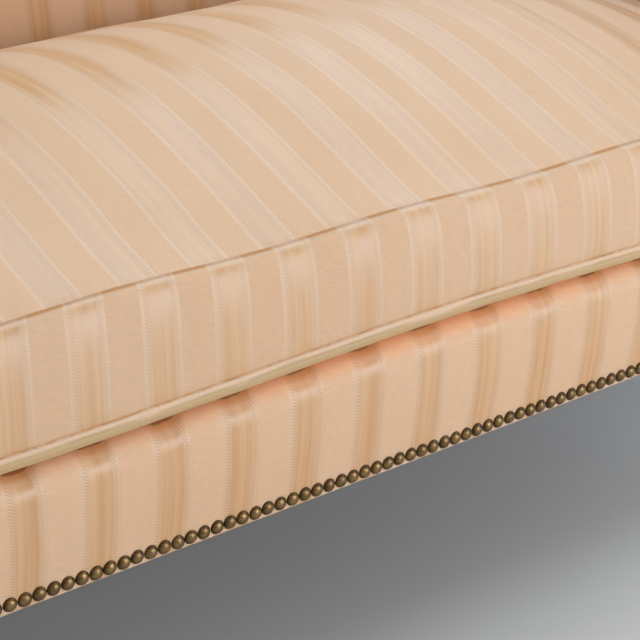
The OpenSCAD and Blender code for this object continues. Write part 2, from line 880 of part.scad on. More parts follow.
module core() {
  inner = -cloth_t - core_gap;
  low = seam_in - welt_in - welt_r - core_gap;
  half = len(rim);
  rings = concat(
    [rim_line(low, cushion_z + cloth_t + core_gap), rim_line(low, band_z + core_gap)],
    [for (k = [1:band_steps]) let (t = k / band_steps)
      rim_line(band_out(t) + inner, band_z + band_h * t - (t == 1 ? core_gap : 0))]
  );
  sides = len(rings);
  row = cushion_columns + 1;
  top = cushion_grid(inner, seam_z - core_gap, 1);
  side_points = [for (k = [0:sides - 2]) each rings[k]];
  base = len(side_points);
  // Place in the top grid of rim station s
  function rim_place(s) =
    s < cushion_columns ? s
    : s < cushion_columns + cushion_rows ? (s - cushion_columns) * row + cushion_columns
    : s < 2 * cushion_columns + cushion_rows
      ? cushion_rows * row + (2 * cushion_columns + cushion_rows - s)
    : (half - s) * row;
  color(pad_color) polyhedron(
    points = concat(side_points, top),
    faces = concat(
      [for (k = [0:sides - 3]) for (s = [0:half - 1]) each quad(k * half + s, (k + 1) * half + s,
        (k + 1) * half + (s + 1) % half, k * half + (s + 1) % half)],
      [for (s = [0:half - 1]) each quad((sides - 2) * half + s, base + rim_place(s),
        base + rim_place((s + 1) % half), (sides - 2) * half + (s + 1) % half)],
      [for (j = [0:cushion_rows - 1]) for (i = [0:cushion_columns - 1])
        each quad(base + j * row + i, base + (j + 1) * row + i,
          base + (j + 1) * row + i + 1, base + j * row + i + 1)],
      [[for (s = [0:half - 1]) s]]
    )
  );
}

zip_z = band_z + band_h * zip_z_share;

module zip_tape() {
  color(welt_color) block(-zip_l / 2, zip_l / 2, cushion_back + soft_gap,
    cushion_back + soft_gap + zip_t, zip_z - zip_w / 2, zip_z + zip_w / 2);
}

module zip_slider() {
  x0 = -zip_l / 2 + slider_l / 2;
  y0 = cushion_back + 2 * soft_gap + zip_t;
  color(nail_color) union() {
    block(x0, x0 + slider_l, y0, y0 + slider_t, zip_z - slider_w / 2, zip_z + slider_w / 2);
    block(x0 + slider_l / 2 - pull_w / 2, x0 + slider_l / 2 + pull_w / 2, y0 + slider_t - pull_t,
      y0 + slider_t, zip_z - slider_w / 2 - pull_l, zip_z);
  }
}

seat_rail_front();  // front_seat_rail
seat_rail_back();  // back_seat_rail
seat_rail_side(-1);  // side_seat_rail_left
seat_rail_side(1);  // side_seat_rail_right
seat_rail_cross();  // seat_cross_rail
blocks_at_corners();  // corner_blocks
bolts();  // leg_bolts
front_leg(-1);  // front_leg_left
front_leg(1);  // front_leg_right
rear_leg(-1);  // rear_leg_left
rear_leg(1);  // rear_leg_right
glides();  // leg_glides
side_stretcher(-1);  // side_stretcher_left
side_stretcher(1);  // side_stretcher_right
middle_stretcher();  // cross_stretcher
arm_stump(-1);  // arm_stump_left
arm_stump(1);  // arm_stump_right
arm_top_rail(-1);  // arm_top_rail_left
arm_top_rail(1);  // arm_top_rail_right
arm_tack_rail(-1);  // arm_tack_rail_left
arm_tack_rail(1);  // arm_tack_rail_right
back_post(-1);  // back_post_left
back_post(1);  // back_post_right
center_post();  // back_center_post
crest_rail();  // back_crest_rail
tack_rail_back();  // back_tack_rail
webbing_back();  // back_webbing
springs();  // seat_springs
clips();  // spring_clips
burlap();  // seat_burlap
edge_roll_front();  // edge_roll
deck_pad();  // deck_padding
deck_cloth();  // deck_cover
dust_cloth();  // dust_cover
rail_padding_front();  // front_rail_padding
rail_cover_front();  // front_rail_cover
nails_front();  // front_nails
nails_side();  // side_nails
arm_pad(-1);  // arm_pad_left
arm_pad(1);  // arm_pad_right
arm_roll_pad(-1);  // arm_roll_pad_left
arm_roll_pad(1);  // arm_roll_pad_right
arm_cover(-1);  // arm_cover_left
arm_cover(1);  // arm_cover_right
outside_arm(-1);  // outside_arm_left
outside_arm(1);  // outside_arm_right
arm_facing(-1);  // arm_facing_left
arm_facing(1);  // arm_facing_right
facing_welts();  // arm_facing_welts
back_pad_inside();  // inside_back_pad
back_cover_inside();  // inside_back_cover
back_cover_outside();  // outside_back_cover
core();  // cushion_core
bottom_panel();  // cushion_bottom_panel
boxing();  // cushion_boxing
top_panel();  // cushion_top_panel
welt();  // cushion_welt
zip_tape();  // zipper_tape
zip_slider();  // zipper_slider
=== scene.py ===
"""Camel-back loveseat: the cloth, cushion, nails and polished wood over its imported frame."""

import math

import bmesh
import bpy
import numpy as np
from bpy.props import FloatProperty, FloatVectorProperty, PointerProperty
from mathutils import Matrix, Vector


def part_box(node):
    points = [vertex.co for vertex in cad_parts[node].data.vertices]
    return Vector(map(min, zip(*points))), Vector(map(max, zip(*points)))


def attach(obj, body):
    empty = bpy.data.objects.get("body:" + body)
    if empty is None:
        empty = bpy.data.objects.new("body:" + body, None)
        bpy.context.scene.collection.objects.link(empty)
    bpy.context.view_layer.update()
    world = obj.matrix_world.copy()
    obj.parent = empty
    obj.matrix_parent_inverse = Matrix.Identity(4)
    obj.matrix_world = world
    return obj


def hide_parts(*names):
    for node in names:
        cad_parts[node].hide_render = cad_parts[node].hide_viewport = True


bl_info = {
    "name": "Camel-back Loveseat",
    "version": (1, 0, 0),
    "blender": (4, 5, 0),
    "location": "3D View > Sidebar > Loveseat",
    "description": "Builds the cover, cushion, nails and legs of a striped loveseat",
    "category": "Object",
}

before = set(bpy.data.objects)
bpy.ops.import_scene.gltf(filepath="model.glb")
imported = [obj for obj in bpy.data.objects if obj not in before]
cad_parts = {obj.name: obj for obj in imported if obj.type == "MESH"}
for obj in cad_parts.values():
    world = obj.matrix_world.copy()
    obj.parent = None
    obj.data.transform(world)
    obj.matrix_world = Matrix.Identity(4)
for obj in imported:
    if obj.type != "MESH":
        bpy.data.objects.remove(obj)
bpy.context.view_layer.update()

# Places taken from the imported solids, in metres
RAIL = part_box("front_rail_cover")
SEAT_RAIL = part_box("front_seat_rail")
BACK_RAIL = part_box("back_seat_rail")
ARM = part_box("arm_cover_right")
ARM_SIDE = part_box("outside_arm_right")
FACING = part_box("arm_facing_right")
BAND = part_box("cushion_boxing")
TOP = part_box("cushion_top_panel")
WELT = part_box("cushion_welt")
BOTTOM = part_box("cushion_bottom_panel")
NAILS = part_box("front_nails")
SIDE_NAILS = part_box("side_nails")
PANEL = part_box("outside_back_cover")
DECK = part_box("deck_cover")
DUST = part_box("dust_cover")
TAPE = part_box("zipper_tape")
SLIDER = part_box("zipper_slider")

LEG_TOP = SEAT_RAIL[0].z
RAIL_TOP = SEAT_RAIL[1].z
DECK_TOP = RAIL[1].z
WOOD_Y = SEAT_RAIL[0].y
BACK_Y = BACK_RAIL[1].y
SIDE_X = SEAT_RAIL[1].x
ARM_X = ARM_SIDE[1].x
SEAT_X = ARM[0].x
ROLL_R = (ARM[1].x - SEAT_X) / 2
ROLL_X = SEAT_X + ROLL_R
ROLL_Z = ARM[1].z - ROLL_R
CUSHION_Y = (BAND[0].y + BAND[1].y) / 2
SEAM_X = TOP[1].x
SEAM_Y = (TOP[1].y - TOP[0].y) / 2
SEAM_IN = BAND[1].x - TOP[1].x
NAIL_Z = (NAILS[0].z + NAILS[1].z) / 2
# How far soft pieces stand clear of what they lie against
GAP = 0.0003


def tone(red, green, blue):
    """A colour written in 0 to 255 as shown on a screen, as the linear values that a shader takes."""
    return tuple(
        (c / 255 / 12.92) if c / 255 <= 0.04045 else ((c / 255 + 0.055) / 1.055) ** 2.4
        for c in (red, green, blue)
    )


def number(name, description, default, **settings):
    return FloatProperty(name=name, description=description, default=default, **settings)


def length(name, description, default, **limits):
    return number(name, description, default, unit="LENGTH", precision=4, **limits)


def angle(name, description, degrees):
    return number(name, description, math.radians(degrees), subtype="ANGLE")


def colour(name, description, default):
    return FloatVectorProperty(
        name=name, description=description, default=default, subtype="COLOR", size=3, min=0, max=1
    )


class StripeSizes(bpy.types.PropertyGroup):
    repeat: length("Stripe repeat", "From the middle of one satin stripe to the next", 0.0593, min=0.02)
    satin: length("Satin width", "Width of the satin stripe between its two borders", 0.0192, min=0.004)
    border: length("Border width", "Width of the herringbone border on each side", 0.0064, min=0.001)
    chevron: length("Herringbone pitch", "Length of one stitch along the stripe", 0.0026, min=0.001)
    rib: length("Rib pitch", "Distance from rib to rib across the plain ground", 0.0011, min=0.0004)
    top_shift: length("Shift on the cushion's top", "How far the stripes there lie off the band's", -0.008)


class StripeColours(bpy.types.PropertyGroup):
    ground: colour("Ground", "Plain ribbed ground between the stripes", tone(225, 184, 145))
    ground_warm: colour("Warm ground", "Pinker threads in the ground", tone(224, 180, 140))
    satin_light: colour("Light satin", "Palest threads of the satin stripe", tone(221, 172, 119))
    satin_dark: colour("Dark satin", "Most golden threads of the satin stripe", tone(200, 143, 82))
    stitch: colour("Pale stitches", "Outer stitches of the herringbone", tone(225, 182, 136))
    stitch_dark: colour("Brown stitches", "Inner stitches of the herringbone", tone(199, 151, 102))
    # Painted shade in the seam grooves: a browner tint where deep falls towards -1
    seam: colour("Seam", "Tint of the cloth right in the seams", tone(222, 186, 118))
    # Painted warm bounce light in the folds: the tint below, raised by this gain, reddens the cloth where
    # deep rises towards 1
    bounce_gain: number("Bounce lightness", "How much lighter the unfaded cloth is", 1.25, min=1, max=2)
    bounce_tint: colour("Bounce tint", "Tint of the cloth that folds hide from the light", tone(250, 216, 191))
    # Painted shadow: the thin dark red-brown line where the rail's cloth turns in below the cushion's welt
    shut_shadow: colour("Shut fold", "Where the rail's cloth turns in under the cushion", tone(182, 112, 74))
    welt: colour("Welt", "Peach upper side of the welts", tone(221, 187, 154))
    # Painted shade: the welts' lower side is darkened to khaki
    welt_shaded_khaki: colour("Khaki welt", "Khaki lower side of the welts", tone(197, 165, 118))


class CushionSizes(bpy.types.PropertyGroup):
    crown: length("Crown", "Rise of the cushion's top above its seam", 0.067, min=0.02)
    fullness: number("Crown fullness", "Power of the crown's rounding", 1.2, min=0.5)
    seam_lift: length("Seam lift", "How far the top seam stands above its level on the whole", 0.0034)
    seam_wave: length("Seam wave", "Height of the slow wave of the top seam", 0.0013)
    seam_wave_length: length("Seam wave length", "Distance from one high place of the seam to the next", 0.24)
    sit: length("Sit", "How far the bottom edge rises and sinks as it lies on the rail", 0.0033)
    sit_length: length("Sit length", "Distance from one high place of the bottom edge to the next", 0.75)
    sit_peak: length("Sit peak", "Where the bottom edge is highest, from the middle", 0.085)
    welt_height: length("Welt height", "Height of the flattened welt", 0.0142)
    corner_pull: length("Corner pull", "How far each corner is drawn in", 0.011)
    seam_depth: length("Seam depth", "How deep the top seam pulls into the filling", 0.0013)
    pucker: length("Pucker", "Height of the small puckers along the seams", 0.0006)
    wave: length("Wave", "Height of the slow unevenness of the filling", 0.0016)


class RailSizes(bpy.types.PropertyGroup):
    belly: length("Belly", "How far the padded rail swells past the nail line", 0.007)
    edge_rise: length("Edge height", "Height of the rounding at the rail's top edge", 0.025)
    edge_fullness: number("Edge fullness", "2 for a round top edge, more for a fuller one", 2.2, min=1.5)
    scallop: length("Scallop", "How deep the satin stripes are drawn in under the cushion", 0.0013)
    hem: length("Hem", "How far the cloth turns under the rail", 0.012)


class NailSizes(bpy.types.PropertyGroup):
    width: length("Nail head", "Diameter of a nail head", 0.0114)
    pitch: length("Nail pitch", "Distance from nail to nail", 0.0115)
    dome: length("Nail dome", "Height of a nail head", 0.0036)
    bronze: colour("Bronze", "Worn high spots of the nail heads", tone(142, 114, 74))
    patina: colour("Patina", "Dark tarnish on the nail heads", tone(88, 68, 42))


class BackSizes(bpy.types.PropertyGroup):
    rake: angle("Rake", "Lean of the back from upright", 12)
    thickness: length("Thickness", "Thickness of the back across its lean", 0.0996)
    swell: length("Swell", "How far the middle of the inside back swells out", 0.024)
    arch: length("Arch", "Height of the rounding over the crest", 0.046)
    lap: length("Lap", "How far the cover laps down behind the crest", 0.04)
    wrap: length("Wrap", "How far the cover stands behind the posts", 0.0025)
    end_height: length("End height", "Height of the back where it meets the arms", 0.604)
    crest_height: length("Crest height", "Height of the crest at the middle of its thickness", 0.915)


class WoodColours(bpy.types.PropertyGroup):
    dark: colour("Dark wood", "Dark grain of the polished legs", tone(52, 26, 15))
    light: colour("Light wood", "Light grain of the polished legs", tone(104, 56, 32))
    poplar_dark: colour("Frame grain", "Dark grain of the hidden frame", tone(176, 140, 92))
    poplar_light: colour("Frame wood", "Pale wood of the hidden frame", tone(222, 194, 146))


class StageSizes(bpy.types.PropertyGroup):
    floor: colour("Floor", "Colour of the studio floor", tone(226, 224, 221))
    key: number("Key light", "Power of the large soft light", 6, unit="POWER")
    high: number("High window", "Power of the high light on the right", 173, unit="POWER")
    low: number("Low window", "Power of the low light on the right", 34, unit="POWER")
    cool: colour("High window light", "Cool colour of the light from above", (0.73, 0.88, 1.0))
    dull: colour("Low window light", "Colour of the low light from the right", (0.86, 0.89, 0.98))
    lens: number("Lens", "Focal length of the camera in millimetres", 112.5, unit="CAMERA")
    turn: angle("Camera turn", "Camera's turn to the left of the front", 36.97)
    tilt: angle("Camera tilt", "How far the camera looks down", 25.05)


# Numbers and meshes


def step(low, high, x):
    """0 below low, 1 above high, smooth between."""
    t = np.clip((np.asarray(x, float) - low) / (high - low), 0, 1)
    return t * t * (3 - 2 * t)


def bell(x, width):
    """1 at 0, falling off smoothly on both sides over about width."""
    return np.exp(-((x / width) ** 2))


def rounding(inside, radius):
    """-1 at an edge, rising as a quarter circle to 0 at radius inside it."""
    return np.sqrt(np.clip(1 - (1 - np.clip(inside / radius, 0, 1)) ** 2, 0, 1)) - 1


def off_edge(x, y, low, high):
    """Distance in from the edge of a sheet that reaches from low to high."""
    return np.minimum(high.x - np.abs(x), np.minimum(y - low.y, high.y - y))


def wander(s, seed, sizes):
    """A smooth uneven line along s, from about -1 to 1, made of waves about as long as sizes."""
    rng = np.random.default_rng(seed)
    s = np.asarray(s, float)
    out = np.zeros_like(s)
    for size in sizes:
        for _ in range(3):
            out += np.sin(2 * np.pi * s / (size * rng.uniform(0.7, 1.4)) + rng.uniform(0, 7)) / 3
    return out / len(sizes)


def unevenness(x, y, seed, size):
    """A smooth uneven surface over x and y, from about -1 to 1."""
    rng = np.random.default_rng(seed)
    out = np.zeros(np.broadcast(x, y).shape)
    for _ in range(9):
        turn = rng.uniform(0, np.pi)
        wave = size * rng.uniform(0.7, 1.6)
        out += np.sin(
            2 * np.pi * (np.asarray(x) * math.cos(turn) + np.asarray(y) * math.sin(turn)) / wave
            + rng.uniform(0, 7)
        )
    return out / 5


def down_length(points):
    """Length down each column of a grid of points, or along a line of them, from the first."""
    steps = np.linalg.norm(np.diff(points, axis=0), axis=-1)
    return np.concatenate([np.zeros((1, *steps.shape[1:])), np.cumsum(steps, axis=0)])


def tangents(line):
    steps = np.gradient(line, axis=0)
    return steps / np.linalg.norm(steps, axis=1)[:, None]


def outward_of(section):
    """Directions out of a section that is drawn clockwise, at each of its points."""
    steps = tangents(section)
    return np.stack([-steps[:, 1], steps[:, 0]], axis=1)


def stack(*parts):
    return np.stack(np.broadcast_arrays(*parts), axis=-1)


def new_object(name, data):
    made = bpy.data.objects.new(name, data)
    bpy.context.scene.collection.objects.link(made)
    return made


def settle(piece, slot, *nodes, fill=None, body="frame"):
    """Tie a piece to its body and hide the solids it stands for. slot, the name of its finish, and fill, how
    full it is, are not used.
    """
    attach(piece, body)
    if nodes:
        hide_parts(*nodes)


class Sewing:
    """Grids of points, each with its map of the cloth, sewn into one mesh."""

    def __init__(self, name):
        self.name = name
        self.points, self.cloth, self.deep, self.faces, self.parts = [], [], [], [], []
        self.count = 0

    def grid(self, points, cloth, deep=0.0, flip=False, part=0):
        """points is rows x columns x 3, cloth is metres across and along the stripes, and deep
        is 1 where the cloth lies deep in a fold, which the materials paint with bounce light or shade."""
        rows, columns = points.shape[:2]
        index = np.arange(rows * columns).reshape(rows, columns) + self.count
        quads = np.stack([index[:-1, :-1], index[:-1, 1:], index[1:, 1:], index[1:, :-1]], axis=-1)
        quads = quads.reshape(-1, 4)
        self.faces.append(quads[:, ::-1] if flip else quads)
        self.parts.append(np.full(len(quads), part))
        self.points.append(points.reshape(-1, 3))
        self.cloth.append(np.broadcast_to(cloth, (rows, columns, 2)).reshape(-1, 2))
        self.deep.append(np.broadcast_to(deep, (rows, columns)).reshape(-1))
        self.count += rows * columns

    def rim(self, face, rear, cloth, deep=0.0):
        """The four narrow sides between a face and its rear."""
        for cut in ((0,), (-1,), (slice(None), 0), (slice(None), -1)):
            self.grid(np.stack([rear[cut], face[cut]]), np.stack([cloth[cut]] * 2), deep)

    def make(self, *materials, join=2e-5):
        points = np.concatenate(self.points)
        faces = np.concatenate(self.faces)
        mesh = bpy.data.meshes.new(self.name)
        mesh.from_pydata(points.tolist(), [], faces.tolist())
        loops = np.empty(len(mesh.loops), dtype=np.int32)
        mesh.loops.foreach_get("vertex_index", loops)
        layer = mesh.uv_layers.new(name="cloth")
        layer.uv.foreach_set("vector", np.concatenate(self.cloth)[loops].astype(np.float32).ravel())
        mark = mesh.attributes.new("deep", "FLOAT", "POINT")
        mark.data.foreach_set("value", np.concatenate(self.deep).astype(np.float32))
        mesh.polygons.foreach_set("material_index", np.concatenate(self.parts).astype(np.int32))
        work = bmesh.new()
        work.from_mesh(mesh)
        if join:
            bmesh.ops.remove_doubles(work, verts=work.verts, dist=join)
            flat = [f for f in work.faces if f.calc_area() < 1e-12]
            bmesh.ops.delete(work, geom=flat, context="FACES_ONLY")
        bmesh.ops.recalc_face_normals(work, faces=work.faces)
        return from_bmesh(self.name, work, *materials, mesh=mesh)


def from_bmesh(name, work, *materials, mesh=None):
    """A smooth-shaded piece from a mesh that is being worked on."""
    mesh = mesh or bpy.data.meshes.new(name)
    for face in work.faces:
        face.smooth = True
    work.to_mesh(mesh)
    work.free()
    for material in materials:
        mesh.materials.append(material)
    return new_object(name, mesh)


def fan(outline, centre, shares):
    """Rings from an outline in to its centre: one for each share, 0 at the outline and 1 at the centre."""
    outline = np.asarray(outline, float)
    shares = np.asarray(shares, float)[:, None, None]
    return outline[None] * (1 - shares) + np.asarray(centre, float)[None, None] * shares


def tube(path, frames, radius, sides=14):
    """A grid round a path. frames are the two directions across it at each point."""
    turn = np.linspace(0, 2 * np.pi, sides + 1)
    a, b = frames
    r = np.broadcast_to(radius, (len(path), sides + 1))
    return (
        path[:, None]
        + r[..., None] * np.cos(turn)[None, :, None] * a[:, None]
        + r[..., None] * np.sin(turn)[None, :, None] * b[:, None]
    )


# Materials


class Value:
    """A number that a material's nodes work out. A sum with it adds the nodes for the sum."""

    def __init__(self, recipe, socket):
        self.recipe, self.socket = recipe, socket

    def __add__(self, other):
        return self.recipe.math("ADD", self, other)

    def __sub__(self, other):
        return self.recipe.math("SUBTRACT", self, other)

    def __rsub__(self, other):
        return self.recipe.math("SUBTRACT", other, self)

    def __mul__(self, other):
        return self.recipe.math("MULTIPLY", self, other)

    def __truediv__(self, other):
        return self.recipe.math("DIVIDE", self, other)

    def __abs__(self):
        return self.recipe.math("ABSOLUTE", self)


class Recipe:
    """A material's nodes."""

    def __init__(self, name):
        self.material = bpy.data.materials.new(name)
        self.material.use_nodes = True
        self.tree = self.material.node_tree
        self.tree.nodes.clear()
        self.output = self.add("ShaderNodeOutputMaterial")
        self.shader = self.add("ShaderNodeBsdfPrincipled")
        self.tree.links.new(self.shader.outputs[0], self.output.inputs[0])

    def add(self, kind, inputs=None, **settings):
        node = self.tree.nodes.new(kind)
        for key, value in settings.items():
            setattr(node, key, value)
        for key, value in (inputs or {}).items():
            self.put(node.inputs[key], value)
        return node

    def put(self, socket, value):
        if isinstance(value, Value):
            self.tree.links.new(value.socket, socket)
        elif socket.type == "RGBA" and len(value) == 3:
            socket.default_value = (*value, 1)
        else:
            socket.default_value = value

    def out(self, kind, inputs, output=0, **settings):
        """One output of a new node."""
        return Value(self, self.add(kind, inputs, **settings).outputs[output])

    def math(self, operation, *values):
        return self.out("ShaderNodeMath", dict(enumerate(values)), operation=operation)

    def ramp(self, value, low, high, to_low=0.0, to_high=1.0):
        inputs = dict(enumerate((value, low, high, to_low, to_high)))
        return self.out("ShaderNodeMapRange", inputs, interpolation_type="SMOOTHSTEP")

    def mix(self, share, a, b, blend="MIX"):
        return self.out("ShaderNodeMix", {0: share, 6: a, 7: b}, 2, data_type="RGBA", blend_type=blend)

    def tint(self, painted, by, share=1.0):
        return self.mix(share, painted, by, "MULTIPLY")

    def blend(self, share, a, b):
        return self.out("ShaderNodeMix", {0: share, 2: a, 3: b}, data_type="FLOAT")

    def noise(self, place, scale, detail=2.0, rough=0.5):
        inputs = {"Vector": place, "Scale": scale, "Detail": detail, "Roughness": rough}
        return self.out("ShaderNodeTexNoise", inputs)

    def at(self, *values):
        return self.out("ShaderNodeCombineXYZ", dict(enumerate(values)))

    def place(self):
        """The point's place in the loveseat's own frame."""
        return self.out("ShaderNodeTexCoord", {}, "Object")

    def parts(self, vector):
        node = self.add("ShaderNodeSeparateXYZ", {0: vector})
        return [Value(self, socket) for socket in node.outputs]

    def cloth(self):
        """Metres across and along the stripes."""
        return self.parts(self.out("ShaderNodeUVMap", {}, uv_map="cloth"))[:2]

    def deep(self):
        """1 deep in a fold, down to -1 in a seam, and below -1 in the rail's painted shadow line: the mark
        for painted bounce light, seam shade and shadow.
        """
        return self.out("ShaderNodeAttribute", {}, "Fac", attribute_name="deep")

    def bump(self, height, strength, distance):
        inputs = {"Strength": strength, "Distance": distance, "Height": height}
        self.put(self.shader.inputs["Normal"], self.out("ShaderNodeBump", inputs))

    def finish(self, **settings):
        for key, value in settings.items():
            self.put(self.shader.inputs[key.replace("_", " ")], value)
        return self.material


def crossing(r, across, down, pace):
    """Threads over and under each other, from 0 to 1."""
    return r.math("SINE", across * pace) * r.math("SINE", down * pace) * 0.5 + 0.5


def striped_cloth(name, shift=0.0, dulled=1.0, paling=0.0):
    """The cover: satin stripes between herringbone borders on a ribbed ground. shift moves the
    stripes sideways, dulled below 1 darkens the ground, and the last one makes the stripes paler."""
    scene = bpy.context.scene
    size, shade = scene.loveseat_stripes, scene.loveseat_colours
    r = Recipe(name)
    across, down = r.cloth()

    def threads(wide, long, detail=2.0, rough=0.5):
        """Noise with this many lumps to a metre across and along the stripes."""
        return r.noise(r.at(across * wide, down * long), 1.0, detail, rough)

    # The threads wander a little, so no edge is ruled
    across = across + (threads(9.0, 22.0) * 0.0016 + (-0.0008 - shift))
    far = abs(r.math("FRACT", across / size.repeat + 0.5) - 0.5) * size.repeat
    half = size.satin / 2
    edge = 0.0006
    satin = r.ramp(far, half - edge, half + edge, 1.0, 0.0)
    ground = r.ramp(far, half + size.border - edge, half + size.border + edge)
    border = 1.0 - satin - ground

    # Ground: fine ribs across, slubs in the weft, and slow changes of tone
    rib = r.math("SINE", down * (2 * math.pi / size.rib))
    slub = threads(110.0, 800.0, 2.0, 0.65)
    weave = threads(1100.0, 900.0, 1.0)
    lane = threads(170.0, 2.0)
    mottle = threads(120.0, 170.0, 2.0, 0.6)
    plain, warm = ([dulled * part for part in tint] for tint in (shade.ground, shade.ground_warm))
    ground_colour = r.mix(r.ramp(mottle * 0.7 + lane * 0.5, 0.35, 0.85), plain, warm)
    speck = mottle * 0.14 + 0.725 + (slub * 0.24 + weave * 0.16)
    ground_colour = r.tint(ground_colour, r.at(speck, speck, speck))

    # Satin: long threads, in broad lanes of a paler and a more golden tone
    broad = threads(150.0, 2.2, 1.5)
    thread = threads(760.0, 9.0, 2.0, 0.6)
    fine = threads(2300.0, 70.0, 1.0)
    gloss = r.ramp(broad * 0.62 + thread * 0.28 + fine * 0.1, 0.3, 0.7)
    satin_colour = r.mix(gloss, shade.satin_dark, shade.satin_light)
    satin_colour = r.mix(paling, satin_colour, tone(222, 190, 152))

    # Border: slanted stitches that meet in the middle, brown beside the satin and pale outside
    place = (far - half) / size.border - 0.5
    wave = r.math("FRACT", down / size.chevron + abs(place) * 2.0)
    stitch = r.ramp(abs(wave - 0.5), 0.14, 0.36)
    outer = r.ramp(place, -0.12, 0.2)
    pale = r.mix(outer, ground_colour, shade.stitch)
    brown = r.mix(outer, shade.stitch_dark, r.mix(0.35, ground_colour, shade.stitch_dark))
    border_colour = r.mix(1.8 * paling, r.mix(stitch, pale, brown), tone(222, 187, 150))

    painted = r.mix(satin, r.mix(border, ground_colour, border_colour), satin_colour)
    # Slow fading over the whole cloth, then painted light and shade where folds and seams hide the cloth from
    # the light: warm bounce light in the folds, shade in the seams, and a thin shadow line where the rail's
    # cloth turns in under the cushion
    fade = r.noise(r.place(), 5.5, 3.0)
    painted = r.mix(r.ramp(fade, 0.3, 0.75, 0.0, 0.1), painted, tone(228, 200, 172))
    deep = r.deep()
    bounce_light = [shade.bounce_gain * part for part in shade.bounce_tint]
    # Painted warm bounce light in the folds: redder cloth, with the satin drawn towards the ground's colour
    painted = r.mix(deep, painted, r.tint(r.mix(satin * 0.55, painted, ground_colour), bounce_light))
    # Painted shade in the seams
    painted = r.mix(r.ramp(deep, -1.0, 0.0, 1.0, 0.0), painted, r.tint(painted, shade.seam))
    # Painted shadow line where the rail's cloth turns in under the cushion
    painted = r.mix(r.ramp(deep, -2.0, -1.0, 1.0, 0.0), painted, shade.shut_shadow)

    height = (rib * 0.35 + (slub + weave)) * ground + (thread + fine) * (satin * 0.4)
    r.bump(height + stitch * (border * 0.1) + satin * -0.5, 0.42, 0.0002)
    rough = r.blend(satin, r.blend(border, 0.88, 0.56), r.blend(gloss, 0.37, 0.53))
    tangent = r.out("ShaderNodeTangent", {}, direction_type="UV_MAP", uv_map="cloth")
    return r.finish(
        Base_Color=painted, Roughness=rough, Tangent=tangent, Anisotropic=0.5, Sheen_Weight=0.26,
        Sheen_Roughness=0.35, Specular_IOR_Level=0.95, IOR=1.63, Specular_Tint=(0.76, 0.92, 1.0),
    )


def plain_cloth(name, base, dark, thread=0.0007, rough=0.8):
    """Plain woven cloth with fine diagonal threads, for tape, deck and underside."""
    r = Recipe(name)
    across, down = r.cloth()
    weave = crossing(r, across + down, across - down, 4.4 / thread)
    streak = r.noise(r.at(across * 700.0, down * 25.0), 1.0, 3.0, 0.6)
    share = weave * 0.12 + (streak * 0.5 + r.noise(r.place(), 14.0, 3.0) * 0.5)
    painted = r.mix(r.ramp(share, 0.35, 0.72), dark, base)
    # Painted shade: darker, warmer cloth where deep marks a fold or an edge
    painted = r.mix(r.deep(), painted, r.tint(painted, tone(206, 160, 112), 0.8))
    r.bump(weave * 0.6 + streak, 0.45, 0.0002)
    rough = r.blend(streak, rough - 0.12, rough)
    return r.finish(Base_Color=painted, Roughness=rough, Sheen_Weight=0.1, Sheen_Roughness=0.4)


def welt_cloth(name):
    """The welts' bias-cut cloth with slanted threads and a soft crease: peach above, and khaki below as
    painted shade on the underside.
    """
    shade = bpy.context.scene.loveseat_colours
    r = Recipe(name)
    across, down = r.cloth()
    slope = down * 640.0 + across * 640.0
    twill = r.noise(r.at(slope, (across - down) * 130.0), 1.0, 2.0, 0.6)
    slow = r.noise(r.at(down * 16.0, across * 60.0), 1.0, 2.0)
    deep = r.deep()
    # Painted shade: the lower side, by deep, turns to the darker khaki
    painted = r.mix(r.ramp(deep + (slow * 0.5 + -0.25), 0.3, 0.5), shade.welt, shade.welt_shaded_khaki)
    # A painted highlight as a pale line along the crest, and painted shade as a greyer line in the crease
    # below it
    crest = r.ramp(abs(deep - 0.27), 0.0, 0.07, 0.38, 0.0)
    painted = r.mix(crest, painted, tone(230, 206, 180))
    crease = r.ramp(abs(deep - 0.44), 0.0, 0.06, 0.6, 0.0) * r.ramp(slow, 0.35, 0.6)
    painted = r.mix(crease, painted, tone(178, 150, 114))
    speck = twill * 0.26 + 0.87
    painted = r.tint(painted, r.at(speck, speck, speck))
    # Painted warm bounce light in the fold underneath and in the seam above
    painted = r.mix(r.ramp(deep, 0.84, 0.98), painted, r.tint(painted, shade.bounce_tint))
    r.bump(twill, 0.4, 0.0002)
    return r.finish(Base_Color=painted, Roughness=r.blend(twill, 0.55, 0.68), Sheen_Weight=0.2,
                    Sheen_Roughness=0.4, Specular_IOR_Level=0.6)


def wood(name, dark, light, grain_axis, rough, coat=0.0):
    """Wood with its grain along one axis of the loveseat: 0 is X, 1 is Y and 2 is Z."""
    r = Recipe(name)
    scale = [46.0, 46.0, 46.0]
    scale[grain_axis] = 3.0
    parts = r.parts(r.place())
    broad = r.noise(r.at(*[part * k for part, k in zip(parts, scale)]), 1.0, 4.0, 0.6)
    ring = abs(r.math("FRACT", broad * 7.0) * 2.0 + -1.0)
    pore = r.noise(r.at(*[part * (k * 11) for part, k in zip(parts, scale)]), 1.0, 2.0, 0.7)
    painted = r.mix(r.ramp(ring * 0.45 + pore * 0.6, 0.25, 0.85), dark, light)
    wear = r.noise(r.place(), 30.0, 4.0)
    painted = r.mix(r.ramp(wear, 0.62, 0.8, 0.0, 0.3), painted, light)
    r.bump(pore + ring * 0.3, 0.25, 0.0003)
    rough = r.ramp(pore, 0.3, 0.7, rough, rough + 0.14)
    return r.finish(Base_Color=painted, Roughness=rough, Coat_Weight=coat, Coat_Roughness=0.18)


